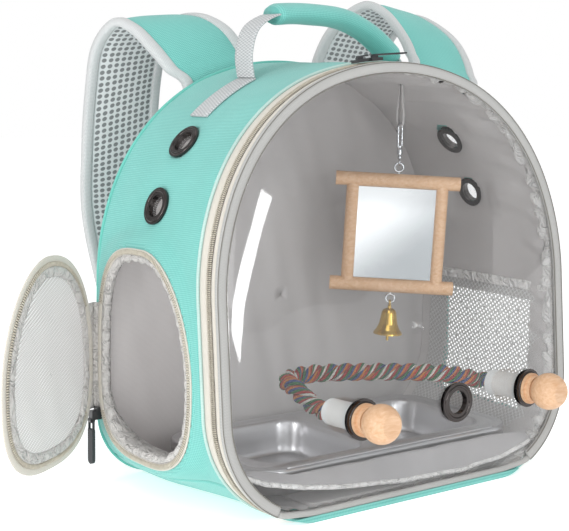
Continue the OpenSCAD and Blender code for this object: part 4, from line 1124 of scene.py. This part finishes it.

# ---- Gathered fabric hinge of the side door ----
# A strip of the grey border cloth, sewn to the gusset and to the leaf along the leaf's rear edge.
hinge_z = np.linspace(*HINGE_Z, 60)
fold_in = np.array([(-196.9, 90.6), (-197.9, 93.4), (-199.6, 95.2), (-200.9, 96.6)])
leaf_side = swung(np.array([[-200.6, 95.4, 0.0], [-201.2, 91.6, 0.0], [-201.0, 88.4, 0.0]]))[:, :2]
fold_line = np.vstack([fold_in, leaf_side])
rows_z = []
for i, z in enumerate(hinge_z):
    puff = 0.7 * ripple(np.array(i / 8.0), np.arange(len(fold_line)) / 9.0, 53, low=0.8, high=2.4)
    rows_z.append([(p[0] - 0.5 * puff[k], p[1] + 0.3 * puff[k], z) for k, p in enumerate(fold_line)])
rows_z = np.array(rows_z)
uv = np.stack(np.meshgrid(hinge_z, np.arange(len(fold_line)) * 2.6, indexing="ij"), -1)
hinge_cloth = cloth_grid("gathered_door_hinge", rows_z, uv, thick=0.7)
hinge_cloth.data.materials.clear()
hinge_cloth.data.materials.append(crumpled)
first, last = Vector((-0.1990, 0.0940, 0.108)), Vector(tuple(leaf_side[0] / 1000) + (0.108,))
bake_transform(hinge_cloth)

# ---- Net window of the right wall and its outside pocket ----
# A pane of open net is sewn over the cut in the wall, with a bound hem on top.
# Outside, a net pocket covers it, and daylight comes through both in bright specks.
wall_line, wall_along = rim_line(1121)


def wall_patch(inset, y0, y1, z0, z1, rows, bow=None):
    """A patch on the right wall at a depth under the outer skin."""
    picked = np.nonzero((wall_line[:, 0] > 100) & (wall_line[:, 1] >= z0) & (wall_line[:, 1] <= z1))[0]
    part, run = wall_line[picked], wall_along[picked]
    y = np.linspace(y0, y1, rows)
    d = np.full((len(part), rows), float(inset))
    if bow is not None:
        d = d + bow(run[:, None], y[None])
    x, z = under_skin(part[:, None], d)
    grid = np.stack([x, np.repeat(y[None], len(part), 0), z], -1)
    uv = np.stack([np.repeat(y[None], len(part), 0), np.repeat(run[:, None], rows, 1)], -1)
    return grid, uv


# coarse knitted net: openings wide enough to let daylight through as specks
speck_net = net("open_grey_net", "#D3D2D1", 3.7, 0.47, turn=38, jitter=0.06)
pocket_net = net("outer_pocket_net", "#C4C5C4", 6.4, 0.9, turn=12, jitter=0.08)
grid, uv = wall_patch(4.9, -70, 84, 24, 160, 78, lambda r, y: 0.25 * ripple(r / 70, y / 60, 61))
dress(cloth_grid("net_window_pane", grid, uv, thick=0.4), speck_net, "shell", "thin_mesh", "mesh_window")
grid, uv = wall_patch(5.4, -70, 84, 157, 168, 78, lambda r, y: 0.5 * ripple(r / 30, y / 24, 67))
dress(cloth_grid("net_window_hem", grid, uv, thick=1.4), pale_hem_cloth, "shell", "thin_mesh")
grid, uv = wall_patch(-0.7, -56, 74, 22, 152, 60, lambda r, y: -0.4 * (1 + ripple(r / 60, y / 50, 63)))
dress(cloth_grid("outer_net_pocket", grid, uv, thick=0.5), pocket_net, "shell", "thin_mesh", "outer_pocket")
grid, uv = wall_patch(-2.4, -56, 74, 150, 160, 60, lambda r, y: 0.2 * ripple(r / 30, y / 26, 69))
dress(cloth_grid("outer_pocket_hem", grid, uv, thick=1.6), binding_ribbon, "shell", "thin_mesh")

# ---- Hanging loop, hook, mirror toy and bell ----
# A folded strip of lining cloth is sewn to the crown; a chromed snap hook with a ball swivel hangs from it,
# then a mirror held in a beech ladder frame, and a spun brass bell.
loop_run = [(2.9 - 1.7 * ease((z - 322) / 26) + 0.2 * math.sin(z / 3), z) for z in np.linspace(353.6, 318, 9)]
bottom = [(2.9 * math.cos(a), 316.3 + 2.9 * math.sin(a)) for a in np.linspace(0, -math.pi, 9)[1:-1]]
loop_line = np.array(loop_run + bottom + [(-u, z) for u, z in loop_run[::-1]])
yaw, HOOK_X, HOOK_Y, LOOP_HALF = math.radians(25), 69.5, 5, 2.3
step = heading(loop_line)
outward = np.stack([-step[:, 1], step[:, 0]], 1)
rings = []
for p, n in zip(loop_line, outward):
    ring = [(w * LOOP_HALF, p[0] + n[0] * t, p[1] + n[1] * t)
            for w, t in ((-1, -0.45), (-1, 0.45), (0, 0.6), (1, 0.45), (1, -0.45), (0, -0.3))]
    rings.append([(HOOK_X + math.cos(yaw) * a - math.sin(yaw) * b,
                   HOOK_Y + math.sin(yaw) * a + math.cos(yaw) * b, z) for a, b, z in ring])
dress(skin_rings("hanging_loop", np.array(rings)), grey_lining, "shell", "grey_lining", "ceiling_loop")
patch_u, patch_v = np.meshgrid(np.linspace(-7, 7, 15), np.linspace(-7, 7, 15), indexing="ij")
puff = 1.9 * (1 - (np.maximum(np.abs(patch_u), np.abs(patch_v)) / 7) ** 6)
tilt = math.asin(HOOK_X / CROWN_R)
patch = np.stack([HOOK_X + patch_u * math.cos(tilt) + (-0.6 - puff) * math.sin(tilt), HOOK_Y + patch_v,
                  354.7 - patch_u * math.sin(tilt) + (-0.6 - puff) * math.cos(tilt)], -1)
dress(cloth_grid("loop_patch", patch, np.stack([patch_u, patch_v], -1), thick=0.6), grey_lining, "shell",
      "grey_lining")

# bright chrome plate: nearly a mirror, with faint smears
chrome = plated("bright_chrome_plate", "#C9CBCE", 220.0, 4.0, 0.08, 0.22)
paint_node(chrome, "snap_hook", "snap_gate", "swivel_ring", "screw_eyes")

# silvered acrylic: a clean mirror, with a painted reflection, a soft fade from grey to white as a bright room
# gives
mirror_glass, tree, out = new_material("silvered_acrylic_mirror")
coords = add(tree, "ShaderNodeTexCoord")
slant = add(tree, "ShaderNodeMapping",
            {"Vector": coords.outputs["Object"], "Location": (-0.0695, -0.005, -0.215)})
parts = add(tree, "ShaderNodeSeparateXYZ", {0: slant.outputs[0]})
ramp_at = add(tree, "ShaderNodeMath",
              {0: add(tree, "ShaderNodeMath", {0: parts.outputs[2], 1: 7.0}, operation="MULTIPLY").outputs[0],
                                       1: add(tree, "ShaderNodeMath", {0: parts.outputs[0], 1: -7.0},
                                              operation="MULTIPLY").outputs[0]})
# painted reflection: the mirror's colour fades from grey to white across its face
painted_reflection_ramp = add(tree, "ShaderNodeMapRange", {0: ramp_at.outputs[0], 1: -0.25, 2: 0.35, 3: 0.0, 4: 1.0},
           interpolation_type="SMOOTHSTEP")
silver_and_painted_reflection = add(tree, "ShaderNodeMix", {0: painted_reflection_ramp.outputs[0], 6: linear("#A9ACAE"), 7: linear("#F4F5F6")},
             data_type="RGBA")
glass = add(tree, "ShaderNodeBsdfPrincipled",
            {"Base Color": silver_and_painted_reflection.outputs[2], "Metallic": 1.0, "Roughness": 0.07})
tree.links.new(glass.outputs[0], out.inputs[0])
paint_node(mirror_glass, "mirror_plate")

# spun and polished brass: a warm mirror with fine rings left by the spinning
brass, tree, out = new_material("spun_polished_brass")
coords = add(tree, "ShaderNodeTexCoord")
rings_noise = add(tree, "ShaderNodeTexNoise",
                  {"Vector": add(tree, "ShaderNodeMapping", {"Vector": coords.outputs["Object"],
                                               "Scale": (20, 20, 900)}).outputs[0], "Scale": 1.0,
                   "Detail": 3.0})
bump = add(tree, "ShaderNodeBump", {"Strength": 0.12, "Distance": 0.0003, "Height": rings_noise.outputs[0]})
tone = add(tree, "ShaderNodeMix", {0: rings_noise.outputs[0], 6: linear("#B08A3C"), 7: linear("#D9B866")},
           data_type="RGBA")
metal = add(tree, "ShaderNodeBsdfPrincipled",
            {"Base Color": tone.outputs[2], "Metallic": 1.0, "Roughness": 0.2, "Normal": bump.outputs[0]})
tree.links.new(metal.outputs[0], out.inputs[0])
paint_node(brass, "bell", "bell_clapper")

# ---- Feeding tray ----
# One pressing of polished stainless sheet: a flat deck with a rolled rim, a small square well and a long one.
# It stands on the covered board by the floors of its wells.
TRAY_W, TRAY_D, TRAY_Y, TRAY_TOP, TRAY_CORNER, ROLL = 300.0, 150.0, -4.0, 40.0, 30, 2.5
WELLS = ((-70.0, 114.0), (66.0, 124.0))


def round_gap(x, y, width, depth, radius):
    """Distance outside a rounded rectangle, negative inside."""
    qx, qy = np.abs(x) - width / 2 + radius, np.abs(y) - depth / 2 + radius
    return np.hypot(np.maximum(qx, 0), np.maximum(qy, 0)) + np.minimum(np.maximum(qx, qy), 0) - radius


def tray_gap(x, y):
    """Distance outside the tray's outline, negative inside."""
    return round_gap(x, y, TRAY_W, TRAY_D, TRAY_CORNER)


tray_u, tray_v = np.meshgrid(np.linspace(-1, 1, 241), np.linspace(-1, 1, 121), indexing="ij")
x, y = tray_u * (TRAY_W / 2 + 4), tray_v * (TRAY_D / 2 + 4)
z = np.full(x.shape, TRAY_TOP)
bead_gap = tray_gap(x, y)
z = z - 0.9 * np.exp(-((bead_gap + 10) / 2.2) ** 2)
lip = np.clip(bead_gap + ROLL, 0, 8)
rolled = ROLL - np.sqrt(np.maximum(ROLL ** 2 - np.minimum(lip, ROLL) ** 2, 0))
z = z - np.where(lip < ROLL, rolled, ROLL + (lip - ROLL) * 1.55)
sx, sy = x.copy(), y.copy()
for _ in range(6):
    g = tray_gap(sx, sy)
    gx = (tray_gap(sx + 0.1, sy) - tray_gap(sx - 0.1, sy)) / 0.2
    gy = (tray_gap(sx, sy + 0.1) - tray_gap(sx, sy - 0.1)) / 0.2
    limit = np.maximum(g + 0.1, 0)
    sx, sy = sx - gx * limit, sy - gy * limit
z = np.maximum(z, TRAY_TOP - 10.5)
tray_points = np.stack([sx, sy + TRAY_Y, z - 0.1], -1)
for centre_x, width in WELLS:
    gap = round_gap(x - centre_x, y, width + 1.0, TRAY_D - 35, 24)
    tray_points[..., 2] = np.where(gap < 0, TRAY_TOP - 0.1 - (TRAY_TOP - 9.9) * ease(-gap / 6.5),
                                   tray_points[..., 2])
keep = whole_quads(bead_gap < 9.5)
# polished stainless sheet: a grey mirror, a little blurred, with faint drawn lines
stainless, tree, out = new_material("polished_stainless_sheet")
coords = add(tree, "ShaderNodeTexCoord")
dull = add(tree, "ShaderNodeTexNoise", {"Vector": coords.outputs["Object"], "Scale": 30.0, "Detail": 4.0})
lines_noise = add(tree, "ShaderNodeTexNoise",
                  {"Vector": add(tree, "ShaderNodeMapping", {"Vector": coords.outputs["Object"],
                                               "Scale": (12, 700, 700)}).outputs[0], "Scale": 1.0,
                   "Detail": 2.0})
bump = add(tree, "ShaderNodeBump", {"Strength": 0.004, "Distance": 0.0001, "Height": lines_noise.outputs[0]})
blur = add(tree, "ShaderNodeMapRange", {0: dull.outputs[0], 3: 0.24, 4: 0.4})
sheet_metal = add(tree, "ShaderNodeBsdfPrincipled", {"Base Color": linear("#C6C5C7"), "Metallic": 1.0,
                                                     "Roughness": blur.outputs[0], "Normal": bump.outputs[0]})
tree.links.new(sheet_metal.outputs[0], out.inputs[0])
dress(cloth_grid("pressed_steel_tray", tray_points, tray_points[..., :2], keep, thick=0.9), stainless, "tray",
      "stainless", "steel_tray")
lip = np.array([(-TRAY_W / 2 + TRAY_CORNER + k * (TRAY_W - 2 * TRAY_CORNER) / 60, TRAY_Y - TRAY_D / 2 + 1.2,
                 TRAY_TOP + 0.2) for k in range(61)])
turn = np.linspace(0, 2 * np.pi, 8, endpoint=False)
lip_rings = lip[:, None] + 1.1 * np.stack([0 * turn, np.cos(turn), np.sin(turn)], -1)[None]
dress(skin_rings("tray_rolled_lip", lip_rings), stainless, "tray", "stainless")

# ---- Floor lining ----
# The lining's loose front apron hangs from the tray's lip behind the window.
# A light hem cord weighs its lower edge, which sags in a shallow bow from corner to corner.
apron_x = np.linspace(-172, 156, 165)
low = np.interp(apron_x, [-172, -150, -110, -60, 0, 64, 119, 156],
                [44, 35, 25.5, 18.5, 13.5, 11.5, 15.5, 24.5])
high = np.interp(apron_x, [-172, -158, -120, 110, 146, 156], [47, 46, 36.4, 35.4, 33, 31])
share = np.linspace(0, 1, 12)[None]
apron_z = low[:, None] + (high - low)[:, None] * share
wave = ripple(apron_x[:, None] / 70, apron_z / 60, 41, low=0.7, high=2.0)
apron_y = rim_y(apron_z) + 12.5 - 5.0 * np.sin(np.pi * 0.5 * (1 - share)) + 1.3 * wave
apron = np.stack([apron_x[:, None] + 0 * apron_z, apron_y, apron_z], -1)
# the lining's cloth out of the light: the same weave, darker
shaded_lining = woven("shaded_grey_apron_cloth", "#B3B0B1", "#8F8C8D", 1.5, turn=45, depth=0.25, rough=0.6)
dress(cloth_grid("lining_front_apron", apron, apron[..., [0, 2]], thick=0.7, flip=True), shaded_lining,
      "shell", "grey_lining")
cord_rings = apron[:, :1] + 2.3 * np.stack([0 * turn, np.cos(turn), np.sin(turn)], -1)[None]
dress(skin_rings("apron_hem_cord", cord_rings), pale_hem_cloth, "shell", "grey_lining")

# ---- Top handle ----
# A ribbed grey webbing strap is sewn flat to the crown at both ends and stands up as a bow.
# A padded sleeve of the teal cloth is wrapped round its middle, with its opening on the left end.
HANDLE_Y, WEB_HALF = 30.0, 12.5
# woven webbing: thick cross ribs, drawn coarse so that they show
ribbed_webbing = woven("ribbed_grey_webbing", "#D3D5D6", "#9EA2A4", 2.6, turn=0, depth=0.9, rough=0.7,
                       cast=0.05, stretch=0.45)


def doubled_run(points, count):
    """Points along the source's own smooth curve."""
    return smooth_run(points, count, doubled=True)


def webbing(name, run, side, up, half_width, half_thick):
    """A flat strap with round edges along a run, given its side and up directions."""
    section = [(-1, -0.5), (-1, 0.5), (-0.96, 1), (-0.5, 1.06), (0, 1.06), (0.5, 1.06), (0.96, 1), (1, 0.5),
               (1, -0.5), (0.96, -1), (0.5, -1.06), (0, -1.06), (-0.5, -1.06), (-0.96, -1)]
    rings = np.stack([run + side * u * half_width + up * v * half_thick for u, v in section], 1)
    return skin_rings(name, rings)


bow = doubled_run([(-88, 355.3), (-90.5, 375), (-84, 396), (-68, 407), (-51, 410.5), (-22, 411.5), (14, 409),
                   (44, 399), (70, 382), (84, 367), (88.5, 355.3)], 16)
run = np.stack([bow[:, 0], np.full(len(bow), HANDLE_Y), bow[:, 1]], -1)
step = heading(run)
up = np.stack([-step[:, 2], 0 * step[:, 0], step[:, 0]], -1)
side = np.tile([0.0, 1.0, 0.0], (len(run), 1))
dress(webbing("handle_strap", run, side, up, WEB_HALF, 0.9), ribbed_webbing, "handle", "grey_webbing",
      "handle_webbing")

tab_line, _ = rim_line(4001)
tabs = []
for way in (-1, 1):
    picked = np.nonzero((tab_line[:, 1] > 200) & (way * tab_line[:, 0] > 86)
                        & (way * tab_line[:, 0] < 136))[0]
    picked = picked[np.linspace(0, len(picked) - 1, 40).round().astype(int)]
    rows = tab_line[picked]
    x, z = under_skin(rows, -1.0)
    run = np.stack([x, np.full(len(rows), HANDLE_Y), z], -1)
    lift = np.stack([rows[:, 2], 0 * rows[:, 0], rows[:, 3]], -1)
    tabs.append(webbing("handle_tab", run, np.tile([0.0, 1.0, 0.0], (len(run), 1)), lift, WEB_HALF, 0.85))
dress(joined(tabs, "sewn_handle_tabs"), ribbed_webbing, "shell", "grey_webbing", "handle_tabs")

grip_part = (bow[:, 0] > -62) & (bow[:, 0] < 78) & (bow[:, 1] > 375)
first, last = np.nonzero(grip_part)[0][[0, -1]]
grip_run = np.linspace(first, last, 70)
centre = np.stack([np.interp(grip_run, np.arange(len(bow)), bow[:, k]) for k in (0, 1)], 1)
rings = []
for k, (c, d) in enumerate(zip(centre, heading(centre))):
    share = k / (len(centre) - 1)
    end = min(share, 1 - share)
    swell = 0.80 + 0.20 * float(ease(end / 0.06))
    ring = []
    for a in np.linspace(0, 2 * np.pi, 48, endpoint=False):
        crease = 1 + 0.025 * float(ripple(np.array(a * 0.6), np.array(share * 2.4), 71, low=0.8, high=2.2))
        crease *= 1 - 0.10 * math.exp(-((a - 4.71) / 0.09) ** 2)
        v, w = math.sin(a) * 9.4 * swell * crease, math.cos(a) * 15.4 * swell * crease
        ring.append((c[0] - d[1] * v, HANDLE_Y + w, c[1] + d[0] * v))
    rings.append(ring)
grip = skin_rings("padded_handle_grip", np.array(rings))
dress(grip, teal_oxford, "handle", "teal_oxford", "handle_grip")

# ---- Shoulder straps ----
# A foam pad under teal cloth, spacer mesh towards the wearer, and a grey twill binding on both edges.
# It grows from the back panel, stands over it and ends in webbing and a ladder buckle low on the back.
LEFT_STRAP = (((-116, 106, 288), (-100, 107, 343), (-116, 113, 361), (-129, 123, 380), (-140, 138, 397),
               (-147, 158, 402), (-153, 180, 380), (-153, 192, 341), (-155, 196, 286), (-158, 190, 225),
               (-153, 170, 157), (-148, 150, 112)),
              ((-46, 106, 302), (-27, 107, 361), (-33, 113, 382), (-43, 123, 400), (-57, 138, 410),
               (-69, 158, 408), (-73, 180, 387), (-74, 192, 356), (-76, 196, 305), (-81, 190, 226),
               (-77, 170, 152), (-72, 150, 104)))
RIGHT_STRAP = (((116, 106, 286), (172, 108, 362), (173, 113, 386), (166, 123, 407), (158, 138, 425),
                (150, 156, 432), (138, 178, 418), (126, 192, 394), (116, 198, 355), (110, 197, 280),
                (106, 189, 222), (102, 171, 160), (105, 150, 112)),
               ((182, 106, 262), (262, 108, 340), (268, 113, 362), (259, 123, 391), (243, 138, 410),
                (226, 156, 420), (221, 178, 408), (217, 192, 386), (211, 198, 348), (206, 197, 278),
                (201, 189, 220), (197, 171, 154), (201, 150, 104)))
# twill tape: slanting ribs, quite matt
BUCKLE_LEAN = math.radians(24)
binding_twill = woven("grey_herringbone_binding", "#DADCDC", "#AEB1B2", 1.8, turn=30, depth=0.5, rough=0.75,
                      cast=0.04)
# knitted spacer mesh: a matt face of small holes, painted dark as the shade in the gap under them
strap_spacer = net("strap_spacer_mesh", "#D6D9DA", 5.4, 0.5, turn=0, ratio=1.25, jitter=0.1, shadow="#7C7F80")


def strap_frame(edges, count=10):
    """Centre line points, the way across, and the way out of a strap's upper face."""
    a, b = (doubled_run(e, count) for e in edges)
    centre = (a + b) / 2
    across = b - a
    step = np.gradient(centre, axis=0)
    out_way = np.cross(across, step)
    out_way /= np.linalg.norm(out_way, axis=1)[:, None]
    return a, across, out_way, centre


for name, edges, seed in (("left", LEFT_STRAP, 81), ("right", RIGHT_STRAP, 83)):
    a, across, out_way, centre = strap_frame(edges)
    s = lengths(centre)
    u = np.linspace(0.075, 0.925, 25)
    crown = 1 - np.abs((u - 0.5) / 0.425) ** 4
    waves = 0.35 * ripple(s[:, None] / 70, u[None] * 1.1, seed, low=0.8, high=2.0)
    face = a[:, None] + across[:, None] * u[None, :, None]
    top = face + out_way[:, None] * (1.2 + (2.7 + waves) * crown[None])[..., None]
    low = face - out_way[:, None] * (1.2 + 2.5 * crown[None])[..., None]
    pad = skin_rings("strap_pad_" + name, np.concatenate([top, face[:, ::-1] + out_way[:, None] * 0.3], 1))
    dress(pad, teal_oxford, "shell", "teal_oxford", "strap_%s_pad" % name)
    spacer = skin_rings("strap_spacer_" + name,
                        np.concatenate([face + out_way[:, None] * 0.1, low[:, ::-1]], 1))
    dress(spacer, strap_spacer, "shell", "spacer_mesh", "strap_%s_mesh" % name)
    bindings = []
    for lo, hi in ((-0.008, 0.11), (0.89, 1.008)):
        ring = []
        for share, t in ((0.0, -0.75), (0.0, 0.75), (0.2, 1), (0.5, 1.04), (0.8, 1), (1.0, 0.7), (1.0, -0.7),
                         (0.8, -1), (0.5, -1.04), (0.2, -1)):
            ring.append(a + across * (lo + (hi - lo) * share) + out_way * (t * 3.9))
        bindings.append(skin_rings("strap_edge", np.stack(ring, 1)))
    dress(joined(bindings, "strap_binding_" + name), binding_twill, "shell", "grey_webbing",
          "strap_%s_binding" % name)
    end = (np.array(edges[0][-1], float) + np.array(edges[1][-1], float)) / 2
    down = np.array([0, -math.sin(BUCKLE_LEAN), -math.cos(BUCKLE_LEAN)])
    back = np.array([0, math.cos(BUCKLE_LEAN), -math.sin(BUCKLE_LEAN)])
    tail = doubled_run([end + down * 19.5 - back * 3.7, end + down * 28 - back * 3.7, (end[0], 119, 58),
                        (end[0], 103.4, 38), (end[0], 101.2, 30), (end[0], 101.2, 14)], 10)
    turn_over = doubled_run([end + down * 1.6 + back * 3.6, end + down * 4 + back * 3.6,
                             end + down * 8 + back * 3.6], 6)
    pieces = []
    for run in (tail, turn_over):
        sides = np.tile([1.0, 0, 0], (len(run), 1))
        pieces.append(webbing("strap_tail", run, sides, np.cross(sides, heading(run)), WEB_HALF, 0.85))
    dress(joined(pieces, "strap_webbing_" + name), ribbed_webbing, "shell", "spacer_mesh",
          "strap_%s_webbing" % name)

# ---- Back cushion ----
# A foam pad under grey spacer mesh, sewn to the back panel round its edge.
# Quilted channels for air run down and across it, and it is pressed flat under the roots of the straps.
pad_edge, _ = rim_line(281)
middle = np.array([0.0, 146.0])
flat_edge = np.stack([pad_edge[:, 0] * 0.735, 44 + pad_edge[:, 1] * 0.598], 1)
shares_pad = np.linspace(0.004, 1, 60)
flat = middle + (flat_edge - middle)[:, None] * shares_pad[None, :, None]
x, z = flat[..., 0], flat[..., 1]
share = np.broadcast_to(shares_pad[None], x.shape)
channel = np.exp(-(x / 9.0) ** 2) + np.exp(-((z - 114) / 5.5) ** 2) + np.exp(-((z - 184) / 5.5) ** 2)
for edges in (LEFT_STRAP, RIGHT_STRAP):
    a, b = np.array(edges[0][0], float), np.array(edges[1][0], float)
    a2, b2 = np.array(edges[0][1], float), np.array(edges[1][1], float)
    centre0, centre1 = (a + b)[[0, 2]] / 2, (a2 + b2)[[0, 2]] / 2
    way = (centre1 - centre0) / np.linalg.norm(centre1 - centre0)
    rel = np.stack([x, z], -1) - centre0
    run, off = rel @ way, np.abs(rel @ np.array([-way[1], way[0]]))
    channel = channel + 1.4 * ease((8 + run) / 8) * ease((44 - off) / 8)
height = 7.6 * (1 - share ** 7) * np.clip(1 - 0.72 * channel, 0.04, 1) + 0.9
y = 100.2 + height + 0.15 * ripple(x / 40, z / 40, 91)
cushion = cloth_grid("quilted_back_cushion", np.stack([x, y, z], -1), flat)
shape = bmesh.new()
shape.from_mesh(cushion.data)
rim_edges = [e for e in shape.edges if e.is_boundary]
made = bmesh.ops.extrude_edge_only(shape, edges=rim_edges)
for vert in (g for g in made["geom"] if isinstance(g, bmesh.types.BMVert)):
    vert.co.y = 0.1002
bmesh.ops.holes_fill(shape, edges=[e for e in shape.edges if e.is_boundary])
bmesh.ops.remove_doubles(shape, verts=shape.verts, dist=1e-6)
bmesh.ops.recalc_face_normals(shape, faces=shape.faces)
shape.to_mesh(cushion.data)
shape.free()
# the same kind of spacer mesh in a darker grey, with smaller holes painted in shade
pad_spacer = net("back_pad_spacer_mesh", "#B4B8B9", 4.2, 0.6, turn=0, ratio=1.2, jitter=0.1, shadow="#5F6263")
dress(cushion, pad_spacer, "shell", "spacer_mesh", "back_pad")
